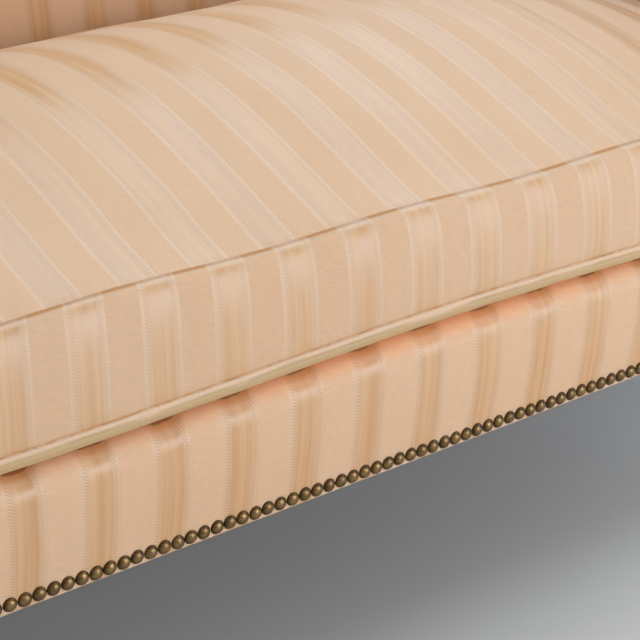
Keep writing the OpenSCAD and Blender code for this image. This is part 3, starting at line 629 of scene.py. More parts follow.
def aged_brass(name, high, low, scale=150.0, rough=0.24):
    """Antique brass: brown tarnish that is rubbed off the high spots."""
    r = Recipe(name)
    blotch = r.noise(r.place(), scale, 2.0, 0.5)
    grain = r.noise(r.place(), 1500.0, 2.0, 0.6)
    share = blotch + grain * 0.15 - r.deep() * 0.6
    r.bump(grain, 0.25, 0.0001)
    return r.finish(Base_Color=r.mix(r.ramp(share, 0.15, 0.75), low, high),
                    Roughness=r.ramp(share, 0.1, 0.8, rough + 0.12, rough), Metallic=0.9)


def steel(name):
    """Bright steel, brushed along Z, with duller spots."""
    r = Recipe(name)
    place = r.at(*[part * k for part, k in zip(r.parts(r.place()), (900.0, 900.0, 60.0))])
    brushed = r.noise(place, 1.0, 3.0)
    spots = r.ramp(r.noise(r.place(), 60.0, 4.0), 0.55, 0.75)
    r.bump(brushed, 0.3, 0.0002)
    return r.finish(Base_Color=r.mix(spots, tone(158, 158, 160), tone(120, 112, 102)),
                    Roughness=r.ramp(brushed, 0.2, 0.8, 0.28, 0.5), Metallic=0.9)


def jute(name):
    """Coarse open jute cloth or webbing."""
    r = Recipe(name)
    weave = crossing(r, *r.cloth(), 2600.0)
    fibre = r.noise(r.place(), 260.0, 4.0, 0.7)
    share = weave * 0.5 + fibre * 0.5
    painted = r.mix(r.ramp(share, 0.2, 0.8), tone(118, 92, 58), tone(184, 152, 104))
    r.bump(share, 0.7, 0.0006)
    return r.finish(Base_Color=painted, Roughness=r.ramp(fibre, 0.2, 0.8, 0.82, 0.95))


# The cushion


def cushion_plan(u, v, out):
    """The cushion's outline: u and v run from -1 to 1, and out is the distance outside the seam."""
    pull = bpy.context.scene.loveseat_cushion.corner_pull
    x = u * (SEAM_X + out - pull * np.abs(v) ** 16)
    y = CUSHION_Y + v * (SEAM_Y + out - pull * np.abs(u) ** 16)
    return x, y


def edge_steps(half, fine, pace):
    """Numbers from -1 to 1, close together near the ends: fine are the first distances in metres."""
    fine = np.array(fine)
    count = max(2, int(round(2 * (half - fine[-1]) / pace)))
    middle = np.linspace(-(half - fine[-1]), half - fine[-1], count + 1)
    return np.concatenate([-(half - fine[:-1]), middle, (half - fine[:-1])[::-1]]) / half


def around(columns, rows):
    """The outline's stations, counterclockwise from the front left corner, closed."""
    wide, tall = np.ones(len(columns) - 1), np.ones(len(rows) - 1)
    us = np.concatenate([columns[:-1], tall, columns[:0:-1], -tall, [-1]])
    vs = np.concatenate([-wide, rows[:-1], wide, rows[:0:-1], [-1]])
    return us, vs


def seam_rise(x, y):
    """How far the cushion's top seam stands above its level at a place on the outline."""
    size = bpy.context.scene.loveseat_cushion
    turn = (x + 0.2 + 1.7 * (y - TOP[0].y)) * 2 * np.pi / size.seam_wave_length
    return size.seam_lift - 0.004 * x + size.seam_wave * np.cos(turn)


def sit_rise(x, y):
    """How far the cushion's bottom edge rises or sinks as it lies on the padded rail."""
    size = bpy.context.scene.loveseat_cushion
    turn = (x - size.sit_peak + 0.8 * (y - WELT[0].y)) * 2 * np.pi / size.sit_length
    return size.sit * np.cos(turn)


class LOVESEAT_OT_cushion(bpy.types.Operator):
    """Sew the loose cushion: crowned top, bulging band and flat bottom"""

    bl_idname = "loveseat.cushion"
    bl_label = "Cushion cover"

    def execute(self, context):
        size = context.scene.loveseat_cushion
        near = [0, 0.0007, 0.0016, 0.0028, 0.0044, 0.0066, 0.0095, 0.0135, 0.019]
        columns = edge_steps(SEAM_X, near, 0.0048)
        rows = edge_steps(SEAM_Y, near, 0.0062)
        seam_z, band_z, floor_z = TOP[0].z, BAND[0].z, BOTTOM[0].z
        sewing = Sewing("cushion_cover")

        u, v = np.meshgrid(columns, rows)
        x, y = cushion_plan(u, v, 0.0)
        full = np.clip((1 - u**4) * (1 - v * v), 0, 1)
        inside = np.minimum((1 - np.abs(v)) * SEAM_Y, (1 - np.abs(u)) * SEAM_X)
        line = np.where((1 - np.abs(v)) * SEAM_Y < (1 - np.abs(u)) * SEAM_X, x, y)
        z = seam_z + size.crown * full**size.fullness + seam_rise(x, y) * np.exp(-inside / 0.05)
        z += size.wave * unevenness(x, y, 11, 0.26) * step(0.0, 0.12, inside)
        z += 0.4 * size.wave * unevenness(x, y, 12, 0.1) * step(0.01, 0.06, inside)
        pulls = size.pucker * (wander(line, 21, [0.021, 0.034]) - 0.5) * np.exp(-inside / 0.014)
        z += pulls * step(0.0, 0.004, inside)
        z -= size.seam_depth * bell(inside, 0.0026)
        top = stack(x, y, z)
        arc = down_length(stack(y, z))
        arc -= arc[len(rows) // 2]
        # deep falls to -1 along the top seam, for painted shade there
        sewing.grid(top, stack(x, arc), -bell(inside, 0.0006))

        # The band, from the bottom welt up to the seam, then under the welt to the bottom
        us, vs = around(columns, rows)
        plan_x, plan_y = cushion_plan(us, vs, SEAM_IN)
        run = down_length(stack(plan_x, plan_y))
        run -= run[len(columns) // 2 - 1]
        near_seam = 1 - 0.2 * (1 - np.linspace(0, 1, 17)[1:]) ** 1.7
        t = np.concatenate([[0, 0.006, 0.014, 0.026, 0.045], np.linspace(0.07, 0.8, 18), near_seam])[:, None]
        seam_x, seam_y = cushion_plan(us, vs, 0.0)
        top_z = seam_z + seam_rise(seam_x, seam_y)[None]
        foot_z = foot_level() + sit_rise(plan_x, plan_y)[None]
        out = SEAM_IN * np.clip(1 - t**2.6, 0, 1) ** (1 / 2.6)
        high = foot_z + (top_z - foot_z) * t
        below = (1 - t) * (seam_z - band_z)
        above = t * (seam_z - band_z)
        run = run[None, :]
        out = out + np.sin(np.pi * np.clip(t, 0, 1)) ** 0.8 * 0.0012 * wander(run, 31, [0.33, 0.17])
        out = out + 0.0005 * wander(run, 32, [0.03, 0.05]) * np.exp(-below / 0.014) * step(0, 0.003, below)
        out = out + size.pucker * wander(run, 33, [0.026, 0.041]) * np.exp(-above / 0.012)
        out = out - 0.0024 * np.exp(-above / 0.0035)
        high = high - size.seam_depth * step(0.965, 1.0, t)
        bx, by = cushion_plan(us[None, :], vs[None, :], out)
        bz = np.broadcast_to(high, bx.shape).copy()
        bx[-1], by[-1] = seam_x, seam_y
        bz[-1] = top_z[0] - size.seam_depth
        band = stack(bx, by, bz)
        # Painted shade in the seams at the band's foot and top
        deep = -bell(below, 0.0005) - 0.8 * bell(above, 0.0014)
        sewing.grid(band, stack(run, down_length(band)), deep, part=1)

        shift = foot_z[0] - band_z
        under = [(0.003, -0.0026, 0.9), (0.009, -0.0056, 0.6)]
        under += [(0.012, floor_z + 0.0045 - band_z, 0.25), (0.0135, floor_z + 0.0008 - band_z, 0)]
        under += [(d, floor_z - band_z, 0) for d in (0.017, 0.03, 0.06, 0.1, 0.15, 0.2, 0.25, 0.28)]
        ring = [band[0]]
        for inward, drop, follow in under:
            rx, ry = cushion_plan(us, vs, SEAM_IN - inward)
            ring.append(stack(rx, ry, band_z + drop + follow * shift))
        ring = np.array(ring)
        # The underside takes a little painted bounce light through deep
        sewing.grid(ring, ring[..., :2], 0.3, part=1)
        piece = sewing.make(
            striped_cloth("striped cloth, cushion top", context.scene.loveseat_stripes.top_shift),
            striped_cloth("striped cloth, cushion band", 0.0, 0.95, 0.15),
        )
        close_holes(piece)
        nodes = ("cushion_core", "cushion_boxing", "cushion_top_panel", "cushion_bottom_panel")
        settle(piece, "cover_cloth", *nodes, fill=0.85, body="seat_cushion")
        return {"FINISHED"}


def welt_level():
    """Height of the middle of the cushion's welt, whose foot rests where the solid's does."""
    return WELT[0].z + bpy.context.scene.loveseat_cushion.welt_height / 2


def foot_level():
    """Height of the seam between the band and the welt."""
    return welt_level() + 0.46 * bpy.context.scene.loveseat_cushion.welt_height


def close_holes(piece):
    work = bmesh.new()
    work.from_mesh(piece.data)
    edges = [e for e in work.edges if e.is_boundary]
    bmesh.ops.holes_fill(work, edges=edges, sides=0)
    bmesh.ops.recalc_face_normals(work, faces=work.faces)
    work.to_mesh(piece.data)
    work.free()


class LOVESEAT_OT_cushion_welt(bpy.types.Operator):
    """Lay the fat welt round the bottom of the cushion"""

    bl_idname = "loveseat.cushion_welt"
    bl_label = "Cushion welt"

    def execute(self, context):
        tall = context.scene.loveseat_cushion.welt_height / 2
        radius = (WELT[1].z - WELT[0].z) / 2 / math.cos(math.pi / 8)
        out = WELT[1].x - TOP[1].x - radius
        columns = edge_steps(SEAM_X, [0, 0.004, 0.009, 0.015, 0.022], 0.0038)
        rows = edge_steps(SEAM_Y, [0, 0.004, 0.009, 0.015, 0.022], 0.006)
        us, vs = around(columns, rows)
        x, y = cushion_plan(us, vs, out)
        run = down_length(stack(x, y))
        outer_x, outer_y = cushion_plan(us, vs, out + 0.01)
        away = stack(outer_x - x, outer_y - y, 0.0)
        away /= np.linalg.norm(away, axis=1)[:, None]
        path = stack(x, y, welt_level() + sit_rise(x, y) + 0.0004 * wander(run, 41, [0.07, 0.16]))
        turn = np.linspace(0, 2 * np.pi, 37)[None, :]
        s = run[:, None]
        # The cloth lies over its cord in an upper and a lower roll with a soft crease between
        twist = 0.16 * wander(s, 42, [0.16, 0.3]) + 0.1 * wander(s, 46, [0.05, 0.08])

        def crease(angle, width):
            return bell(np.angle(np.exp(1j * (turn - angle - twist))), width)

        depth = 0.5 + 0.5 * wander(s, 45, [0.06, 0.1])
        r = 0.97 + 0.026 * wander(s, 43, [0.03, 0.07]) + 0.03 * crease(0.0, 0.25)
        r = r - 0.17 * crease(0.42, 0.15) * (0.6 + 0.4 * depth) - 0.11 * crease(-0.5, 0.13) * depth
        wide = radius * np.cos(turn)
        high = tall * np.sin(turn)
        cord = path[:, None] + (r * wide)[..., None] * away[:, None] + stack(0.0, 0.0, r * high)
        sewing = Sewing("cushion_welt_cord")
        # 0 on the upper side, rising to 1 in the fold underneath and in the seam above; by it the welt's
        # cloth paints a crest highlight, crease shade, a khaki shaded underside, and bounce light in the fold
        # and the seam
        low = np.clip(0.5 - 0.5 * np.sin(turn - 0.25), 0, 1) * 0.92
        low = np.maximum(low, bell(np.angle(np.exp(1j * (turn - 1.75))), 0.22))
        sewing.grid(cord, stack(turn * np.hypot(wide, high), s), low)
        piece = sewing.make(welt_cloth("welt cloth"))
        settle(piece, "welt_cloth", "cushion_welt", fill=0.95, body="seat_cushion")
        return {"FINISHED"}


class LOVESEAT_OT_zip(bpy.types.Operator):
    """Set the zip in the back of the cushion: tape, teeth and slider"""

    bl_idname = "loveseat.zip"
    bl_label = "Cushion zip"

    def execute(self, context):
        low, high = TAPE
        middle = (low.z + high.z) / 2
        half = (high.z - low.z) / 2
        steps = np.array([-half, 0.004 - half, -0.0022, -0.0005, 0.0005, 0.0022, half - 0.004, half])
        gx, gz = np.meshgrid(np.linspace(low.x, high.x, 181), middle + steps)
        lift = 0.0004 * np.cos(np.pi * (gz - middle) / (2 * half)) - 0.0003 * (np.abs(gz - middle) < 0.001)
        sewing = Sewing("zip_tape_cloth")
        face = stack(gx, high.y - 0.0004 + lift, gz)
        rear = stack(gx, low.y, gz)
        sewing.grid(face, stack(gx, gz))
        sewing.grid(rear, stack(gx, gz), flip=True)
        sewing.rim(face, rear, stack(gx, gz))
        tape = sewing.make(plain_cloth("zip tape cloth", tone(206, 184, 148), tone(184, 158, 120), 0.0005))
        settle(tape, "zip_tape", "zipper_tape", body="seat_cushion")

        brass = aged_brass("zip brass", tone(196, 160, 96), tone(130, 98, 54), 300.0, 0.3)
        work = bmesh.new()
        pitch, tooth = 0.0026, (0.0012, 0.0007, 0.0036)
        count = int((high.x - low.x - 0.012) / pitch)
        start = -pitch * (count - 1) / 2
        for i in range(count):
            side = 1 if i % 2 else -1
            made = bmesh.ops.create_cube(work, size=1.0)["verts"]
            bmesh.ops.scale(work, vec=tooth, verts=made)
            place = (start + i * pitch, high.y + 0.00005, middle + side * 0.0008)
            bmesh.ops.translate(work, vec=place, verts=made)
        settle(from_bmesh("zip_teeth", work, brass), "zip_metal", body="seat_cushion")

        low, high = SLIDER
        wide, tall = high.x - low.x, 2 * (high.z - middle)
        centre = (low.x + high.x) / 2
        work = bmesh.new()
        body = [(-0.5, -0.28), (-0.5, 0.28), (-0.2, 0.5), (0.5, 0.38), (0.5, -0.38), (-0.2, -0.5)]
        body = [(centre + a * wide, middle + b * tall) for a, b in body]
        extrude(work, body, low.y, high.y - 0.0009, 0.0006)
        pull = [(-0.0018, middle + 0.001), (0.0018, middle + 0.001), (0.0025, low.z + 0.004),
                (0.0015, low.z), (-0.0015, low.z), (-0.0025, low.z + 0.004)]
        extrude(work, [(centre + a, b) for a, b in pull], high.y - 0.0013, high.y, 0.0004)
        settle(from_bmesh("zip_slider_and_pull", work, brass), "zip_metal", "zipper_slider", body="zip")
        return {"FINISHED"}


def extrude(work, outline, y0, y1, bevel):
    """A flat outline in x and z, from y0 to y1, with softened edges."""
    rings = [[work.verts.new((x, y, z)) for x, z in outline] for y in (y0, y1)]
    faces = [work.faces.new(rings[0]), work.faces.new(rings[1][::-1])]
    n = len(outline)
    for i in range(n):
        faces.append(work.faces.new([rings[0][i], rings[1][i], rings[1][(i + 1) % n], rings[0][(i + 1) % n]]))
    bmesh.ops.recalc_face_normals(work, faces=faces)
    edges = list({e for f in faces for e in f.edges})
    bmesh.ops.bevel(work, geom=edges, offset=bevel, segments=2, affect="EDGES", clamp_overlap=True)


# The front rail


def nail_line():
    return NAILS[0].y + bpy.context.scene.loveseat_nails.dome


def rail_profile(belly):
    """The padded front in section, from the turned-under hem up and over to the deck: y, z."""
    size = bpy.context.scene.loveseat_rail
    y0 = nail_line()
    front = DECK_TOP - LEG_TOP
    strip = LEG_TOP + 0.135 * front
    full = LEG_TOP + 0.72 * front
    edge_y, run = RAIL[1].y, RAIL[1].y - (y0 - belly)
    edge_z = DECK_TOP - size.edge_rise
    r = 0.0014
    points = [(y0 + size.hem, LEG_TOP + 0.0002), (y0 + 0.5 * size.hem, LEG_TOP), (y0 + 2 * r, LEG_TOP)]
    for a in np.linspace(0.15, 1, 6) * math.pi / 2:
        points.append((y0 + r * (1 - math.sin(a)), LEG_TOP + r * (1 - math.cos(a))))
    for z in np.linspace(LEG_TOP + 2.2 * r, strip, 8):
        points.append((y0, z))
    for s in np.linspace(0, 1, 17)[1:]:
        points.append((y0 - belly * math.sin(math.pi / 2 * s), strip + (full - strip) * s))
    if edge_z > full + 0.001:
        points.append((y0 - belly, (full + edge_z) / 2))
    power = 2 / size.edge_fullness
    for a in np.linspace(0, math.pi / 2, 40):
        points.append((edge_y - run * math.cos(a) ** power, edge_z + size.edge_rise * math.sin(a) ** power))
    return np.array(points)


class LOVESEAT_OT_rail_cover(bpy.types.Operator):
    """Stretch the striped cover over the padded front rail"""

    bl_idname = "loveseat.rail_cover"
    bl_label = "Front rail cover"

    def execute(self, context):
        size, stripes = context.scene.loveseat_rail, context.scene.loveseat_stripes
        profile = rail_profile(size.belly)
        outward = outward_of(profile)
        rise = down_length(profile)
        inner = SEAT_X - GAP
        back_y = RAIL[1].y
        xs = np.linspace(-inner, inner, 421)
        x, row = np.meshgrid(xs, np.arange(len(profile)))
        y, z = profile[row, 0], profile[row, 1]
        # The satin stripes are drawn in where the cover is pulled down under the cushion
        far = np.abs((x / stripes.repeat + 0.5) % 1 - 0.5) * stripes.repeat
        satin = step(stripes.satin / 2 + 0.006, stripes.satin / 2 - 0.004, far)
        uneven = 1 + 0.35 * wander(x, 51, [0.12, 0.07])
        sit = sit_rise(x, WELT[0].y) * step(LEG_TOP + 0.03, DECK_TOP - 0.012, z)
        sit *= step(back_y, back_y - 0.014, y)
        fold = step(DECK_TOP - 0.017, DECK_TOP - 0.004, z) * step(back_y, back_y - 0.012, y)
        push = -size.scallop * satin * uneven * fold
        push += 0.0007 * (1 - satin) * fold
        # Slow unevenness of the padding, and small pulls from nail to nail
        front = step(LEG_TOP + 0.016, LEG_TOP + 0.04, z)
        push += 0.0005 * unevenness(x, z, 52, 0.14) * front
        push += 0.00018 * unevenness(x, z, 53, 0.04) * front * step(0.31, 0.26, z)
        nails = context.scene.loveseat_nails
        between = np.cos(2 * np.pi * x / nails.pitch)
        push -= 0.0003 * between * bell(z - NAIL_Z, 0.006)
        push += 0.0003 * (0.6 - 0.4 * between) * bell(z - (NAIL_Z + 0.008), 0.0045)
        points = stack(x, y + push * outward[row, 0], z + push * outward[row, 1] + sit)
        # deep rises to 1 in the fold under the cushion, for painted warm bounce light there
        deep = step(DECK_TOP - 0.017, DECK_TOP, z + sit)
        # deep drops below -1 in a thin line just under the welt, for the painted shadow there
        shut_shadow = DECK_TOP - 0.0030 - 0.0013 * satin + 0.0006 * wander(x, 54, [0.05, 0.03])
        deep = deep - 3 * step(shut_shadow, shut_shadow + 0.0016, z) * step(back_y - 0.004, back_y - 0.009, y)
        sewing = Sewing("front_rail_cloth")
        sewing.grid(points, stack(x, rise[row]), deep)
        # The plain strip that runs on to the corners, below the arm fronts
        strip = profile[profile[:, 1] <= LEG_TOP + 0.0149]
        sx, srow = np.meshgrid(np.linspace(inner, RAIL[1].x, 26), np.arange(len(strip)))
        near = np.cos(2 * np.pi * sx / nails.pitch) * bell(strip[srow, 1] - NAIL_Z, 0.006)
        for side in (-1, 1):
            grid = stack(side * sx, strip[srow, 0] + 0.00045 * near, strip[srow, 1])
            sewing.grid(grid, stack(side * sx, rise[srow]), flip=side < 0)
        # The inner face, so that the cover is a closed padded form
        back = np.array([(WOOD_Y - 0.0002, LEG_TOP + GAP), (WOOD_Y - 0.0002, RAIL_TOP - GAP),
                         (back_y, RAIL_TOP + 0.0005), (back_y, DECK_TOP)])
        bx, brow = np.meshgrid([-inner, inner], np.arange(len(back)))
        sewing.grid(stack(bx, back[brow, 0], back[brow, 1]), stack(bx, back[brow, 1]), 0.4, flip=True)
        for end in (0, -1):
            rear = stack(np.full(4, xs[end]), back[::-1, 0], back[::-1, 1])
            loop = np.concatenate([points[:, end], rear, points[:1, end]])
            cap = fan(loop, [xs[end], (WOOD_Y + RAIL[0].y) / 2, DECK_TOP - 0.02], [0, 0.5, 1])
            sewing.grid(cap, cap[..., 1:], 0.3)
        piece = sewing.make(striped_cloth("striped cloth, rail"))
        settle(piece, "cover_cloth", "front_rail_cover", "front_rail_padding", "edge_roll", fill=0.9)
        return {"FINISHED"}


def nail_head(work, layer, place, out, width, dome, rng):
    """One domed nail head at place, facing out."""
    r = width / 2
    # A nail is never driven quite straight, and its dome is a little dented
    out = (Vector(out) + Vector(rng.uniform(-0.07, 0.07, 3))).normalized()
    side = out.cross(Vector((0, 0, 1))).normalized()
    up = side.cross(out)
    profile = [(1.0, 0.0), (1.0, 0.09), (0.965, 0.2), (0.87, 0.44), (0.7, 0.68), (0.47, 0.86), (0.22, 0.97)]
    sides = 18
    dents = rng.uniform(-0.02, 0.02, 3)
    rings = []
    for share, high in profile:
        ring = []
        for i in range(sides):
            a = 2 * math.pi * i / sides
            wide = r * share * (1 + dents[0] * math.sin(2 * a + 9 * dents[1]) * (1 - share * 0.3))
            point = Vector(place) + side * (wide * math.cos(a)) + up * (wide * math.sin(a))
            vert = work.verts.new(point + out * (dome * high))
            vert[layer] = 0.85 * share**3
            ring.append(vert)
        rings.append(ring)
    for a, b in zip(rings, rings[1:]):
        for i in range(sides):
            work.faces.new([a[i], a[(i + 1) % sides], b[(i + 1) % sides], b[i]])
    tip = work.verts.new(Vector(place) + out * dome)
    for i in range(sides):
        work.faces.new([rings[-1][i], rings[-1][(i + 1) % sides], tip])
    work.faces.new(rings[0][::-1])


class LOVESEAT_OT_nails(bpy.types.Operator):
    """Drive the touching row of domed nails along the front and the sides"""

    bl_idname = "loveseat.nails"
    bl_label = "Nails"

    def execute(self, context):
        size = context.scene.loveseat_nails
        brass = aged_brass("antique nail brass", size.bronze, size.patina)
        rng = np.random.default_rng(7)
        sunk, dome = 0.0002, size.dome - 0.0001

        def row(name, node, count, sides, station):
            """A row of nails on each side: station gives a nail's place and the way it faces."""
            work = bmesh.new()
            layer = work.verts.layers.float.new("deep")
            for side in sides:
                for i in range(count):
                    off = i * size.pitch + rng.uniform(-0.00018, 0.00018)
                    place, out = station(side, off)
                    place = (*place, NAIL_Z + rng.uniform(-0.0003, 0.0003))
                    nail_head(work, layer, place, out, size.width, dome, rng)
            settle(from_bmesh(name, work, brass), "nail_brass", node)

        count = 2 * int((NAILS[1].x - size.width / 2) / size.pitch + 0.3) + 1
        start = -(count - 1) / 2 * size.pitch
        row("front_nail_heads", "front_nails", count, [0],
            lambda side, off: ((start + off, nail_line() - sunk), (0, -1, 0)))
        first = SIDE_NAILS[0].y + size.width / 2
        count = int(round((SIDE_NAILS[1].y - size.width / 2 - first) / size.pitch)) + 1
        row("side_nail_heads", "side_nails", count, [-1, 1],
            lambda side, off: ((side * (ARM_X - sunk), first + off), (side, 0, 0)))
        return {"FINISHED"}


# Arms


# The arms' sides, and the height of the waist below their rolls
SIDES = ((1, "right"), (-1, "left"))
WAIST_Z = 0.56


def lean_y(z, off=0.0):
    """Depth of the back's leaning plane at height z, off metres behind the posts."""
    rake = bpy.context.scene.loveseat_back.rake
    return BACK_Y + off / math.cos(rake) + (z - RAIL_TOP) * math.tan(rake)


def keyhole(radius, x0, x1, z0, arc=64, sides=40):
    """Outline of an arm in section, from its inner foot up, over the roll and down outside: x, z."""
    turn = math.acos((x1 - ROLL_X) / radius)
    join = ROLL_Z - radius * math.sin(turn)
    inner = np.linspace(z0, ROLL_Z, sides)
    points = [(x0, z) for z in inner]
    start = math.acos(max(-1.0, (x0 - ROLL_X) / radius))
    for a in np.linspace(start, -turn, arc)[1:]:
        points.append((ROLL_X + radius * math.cos(a), ROLL_Z + radius * math.sin(a)))
    for z in np.linspace(join, z0, sides)[1:]:
        points.append((x1, z))
    return np.array(points)


class LOVESEAT_OT_arms(bpy.types.Operator):
    """Cover the padded arms and their rolls"""

    bl_idname = "loveseat.arms"
    bl_label = "Arm covers"

    def execute(self, context):
        material = striped_cloth("striped cloth, arms")
        section = keyhole(ROLL_R, SEAT_X, SIDE_X - GAP, ARM[0].z, 72, 34)
        outward = outward_of(section)
        run = down_length(section)
        near = [0, 0.002, 0.005, 0.009, 0.014, 0.02, 0.028, 0.038]
        shares = np.concatenate([near, np.linspace(0.05, 1, 90)])
        on_roll = step(0.54, 0.6, section[:, 1])
        for side, which in SIDES:
            depth, k = np.meshgrid(shares, np.arange(len(section)), indexing="ij")
            x, z = section[k, 0], section[k, 1]
            y = WOOD_Y + depth * (lean_y(z, 0.0025) - WOOD_Y)
            into = y - WOOD_Y
            # Gathers behind the arm's front, a soft waist in the roll, and slow unevenness
            gathers = np.sin(run[k] / 0.0042 + 5 * wander(run[k], 61 + side, [0.05]))
            push = -0.0022 * np.exp(-into / 0.006) * on_roll[k]
            push += 0.0013 * np.exp(-into / 0.03) * on_roll[k] * gathers
            push += 0.0009 * unevenness(into, run[k], 63 + side, 0.12) * (1 - np.exp(-into / 0.02))
            push -= 0.0012 * bell(z - WAIST_Z, 0.05) * (x < SEAT_X + 0.01)
            push = np.minimum(push, np.where(x < SEAT_X + 0.004, 0.0006, 0.003))
            foot = step(ARM[0].z, ARM[0].z + 0.03, z)
            x = x + push * outward[k, 0] * foot
            z = z + push * outward[k, 1] * foot
            grid = stack(side * x, y, z)
            sewing = Sewing("arm_cloth_" + which)
            # Painted warm bounce light where the cover turns in at the arm's front and where the arm meets
            # the deck
            deep = np.exp(-into / 0.003) * 0.8 + bell(z - DECK_TOP, 0.012) * (x < ROLL_X) * 0.6
            sewing.grid(grid, stack(y, run[k]), np.clip(deep, 0, 1), flip=side > 0)
            # Closed below and at both ends
            low = np.stack([grid[:, 0], grid[:, -1]], axis=1)
            sewing.grid(low, low[..., :2], 0.5, flip=side < 0)
            for ring, y in ((grid[0], WOOD_Y), (grid[-1], lean_y(WAIST_Z, 0.0025))):
                centre = [side * (ROLL_X - 0.012), y, WAIST_Z]
                cap = fan(np.concatenate([ring, ring[:1]]), centre, [0, 0.5, 1])
                sewing.grid(cap, cap[..., [0, 2]], 0.3)
            nodes = ("arm_cover_" + which, "arm_pad_" + which, "arm_roll_pad_" + which)
            settle(sewing.make(material), "cover_cloth", *nodes, fill=0.9)
        return {"FINISHED"}


class LOVESEAT_OT_arm_fronts(bpy.types.Operator):
    """Face the fronts of the arms and edge them with welt"""

    bl_idname = "loveseat.arm_fronts"
    bl_label = "Arm fronts"

    def execute(self, context):
        material = striped_cloth("striped cloth, arm fronts")
        piping = welt_cloth("arm welt cloth")
        low, high = FACING
        outline = keyhole(ROLL_R - 0.003, low.x, ARM_X - 0.003, low.z, 56, 26)
        outline = np.concatenate([outline, np.linspace(outline[-1], outline[0], 14)[1:]])
        centre = np.array([(low.x + ARM_X - 0.003) / 2 + 0.004, WAIST_Z])
        shares = np.array([0, 0.015, 0.035, 0.065, 0.11, 0.17, 0.25, 0.35, 0.47, 0.6, 0.73, 0.86, 1.0])
        welt_r = 0.003
        for side, which in SIDES:
            flat = fan(outline, centre, shares)
            puff = 0.0042 * (1 + rounding(shares, 0.5))[:, None]
            face = stack(side * flat[..., 0], low.y + 0.0022 - puff * 0.8, flat[..., 1])
            sewing = Sewing("arm_front_" + which)
            # Painted warm bounce light round the facing's edge
            sewing.grid(face, flat, np.exp(-shares / 0.02)[:, None], flip=side > 0)
            edge = np.stack([face[0], face[0] * [1, 0, 1] + [0, high.y, 0]])
            sewing.grid(edge, np.stack([flat[0], flat[0]]), 0.6, flip=side < 0)
            rear = face[[0, -1]] * [1, 0, 1] + [0, high.y, 0]
            sewing.grid(rear, flat[[0, -1]], 0.5, flip=side < 0)
            settle(sewing.make(material), "cover_cloth", "arm_facing_" + which, fill=0.7)

            # The welt runs up the inside from the cushion, over the roll and down to the nails
            start = int(np.argmax(outline[:, 1] > DECK_TOP + 0.0006))
            path = outline[start : len(outline) - 13]
            path = np.concatenate([np.linspace(a, b, 3)[:-1] for a, b in zip(path, path[1:])] + [path[-1:]])
            path = stack(side * path[:, 0], low.y - welt_r + 0.0002, path[:, 1])
            forward = np.tile([0.0, 1.0, 0.0], (len(path), 1))
            across = np.cross(tangents(path), forward)
            run = down_length(path)
            turn = np.linspace(0, 2 * np.pi, 17)[None, :]
            uneven = 2 * wander(run[:, None], 71 + side, [0.08, 0.05])
            radius = welt_r * (0.97 + 0.03 * np.sin(3 * turn + uneven))
            cord = tube(path, (across, forward), radius, 16)
            sewing = Sewing("arm_welt_" + which)
            sewing.grid(cord, stack(turn * welt_r, run[:, None]))
            for end, middle in ((cord[0], path[0]), (cord[-1], path[-1])):
                cap = fan(end, middle, [0, 0.6, 1])
                sewing.grid(cap, cap[..., [0, 2]])
            nodes = ["arm_facing_welts"] if side == 1 else []
            settle(sewing.make(piping), "welt_cloth", *nodes, fill=0.95)
        return {"FINISHED"}


class LOVESEAT_OT_outside_arms(bpy.types.Operator):
    """Close the outsides of the arms with striped panels"""

    bl_idname = "loveseat.outside_arms"
    bl_label = "Outside arms"

    def execute(self, context):
        material = striped_cloth("striped cloth, outside arms")
        low, high = ARM_SIDE
        zs = [low.z + np.array([0, 0.001, 0.003, 0.006]), np.linspace(low.z + 0.01, high.z - 0.006, 60),
              high.z - np.array([0.003, 0.001, 0])]
        ys = [[0, 0.0015, 0.004, 0.008], np.linspace(0.013, 0.987, 80), [0.992, 0.996, 0.9985, 1]]
        zs, ys = np.concatenate(zs), np.concatenate(ys)
        for side, which in SIDES:
            share, z = np.meshgrid(ys, zs)
            rear = np.where(z > RAIL_TOP, lean_y(z), BACK_Y)
            y = WOOD_Y + share * (rear - WOOD_Y)
            edge = np.minimum(np.minimum(z - low.z, high.z - z), np.minimum(y - WOOD_Y, rear - y))
            puff = 0.0012 * rounding(edge, 0.004)
            puff += 0.0006 * unevenness(y, z, 81 + side, 0.16) * step(0.0, 0.03, edge)
            face = stack(side * (high.x + puff), y, z)
            inner = stack(side * low.x, y, z)
            cloth = stack(y, z - low.z)
            sewing = Sewing("outside_arm_cloth_" + which)
            # Painted warm bounce light along the panel's edges
            sewing.grid(face, cloth, np.exp(-edge / 0.0015) * 0.6, flip=side < 0)
            sewing.grid(inner[[0, -1]], cloth[[0, -1]], 0.5, flip=side > 0)
            sewing.rim(face, inner, cloth, 0.5)
            settle(sewing.make(material), "cover_cloth", "outside_arm_" + which, fill=1.0)
        return {"FINISHED"}


# Back


def back_lengths():
    size = bpy.context.scene.loveseat_back
    slope = size.thickness / 2 * math.sin(size.rake)
    crest = (size.crest_height - RAIL_TOP - slope) / math.cos(size.rake)
    end = (size.end_height - RAIL_TOP - slope) / math.cos(size.rake)
    return crest, end


def camel(x):
    """Top of the back along its lean, at x from the middle."""
    crest, end = back_lengths()
    x = np.minimum(np.abs(x), SEAT_X)
    return end + (crest - end) * (1 + np.cos(np.pi * x / SEAT_X)) / 2


def leaned(x, y, z):
    """Points of the leaning frame in the loveseat's own frame."""
    rake = bpy.context.scene.loveseat_back.rake
    c, s = math.cos(rake), math.sin(rake)
    return stack(x, BACK_Y + y * c + z * s, RAIL_TOP - y * s + z * c)


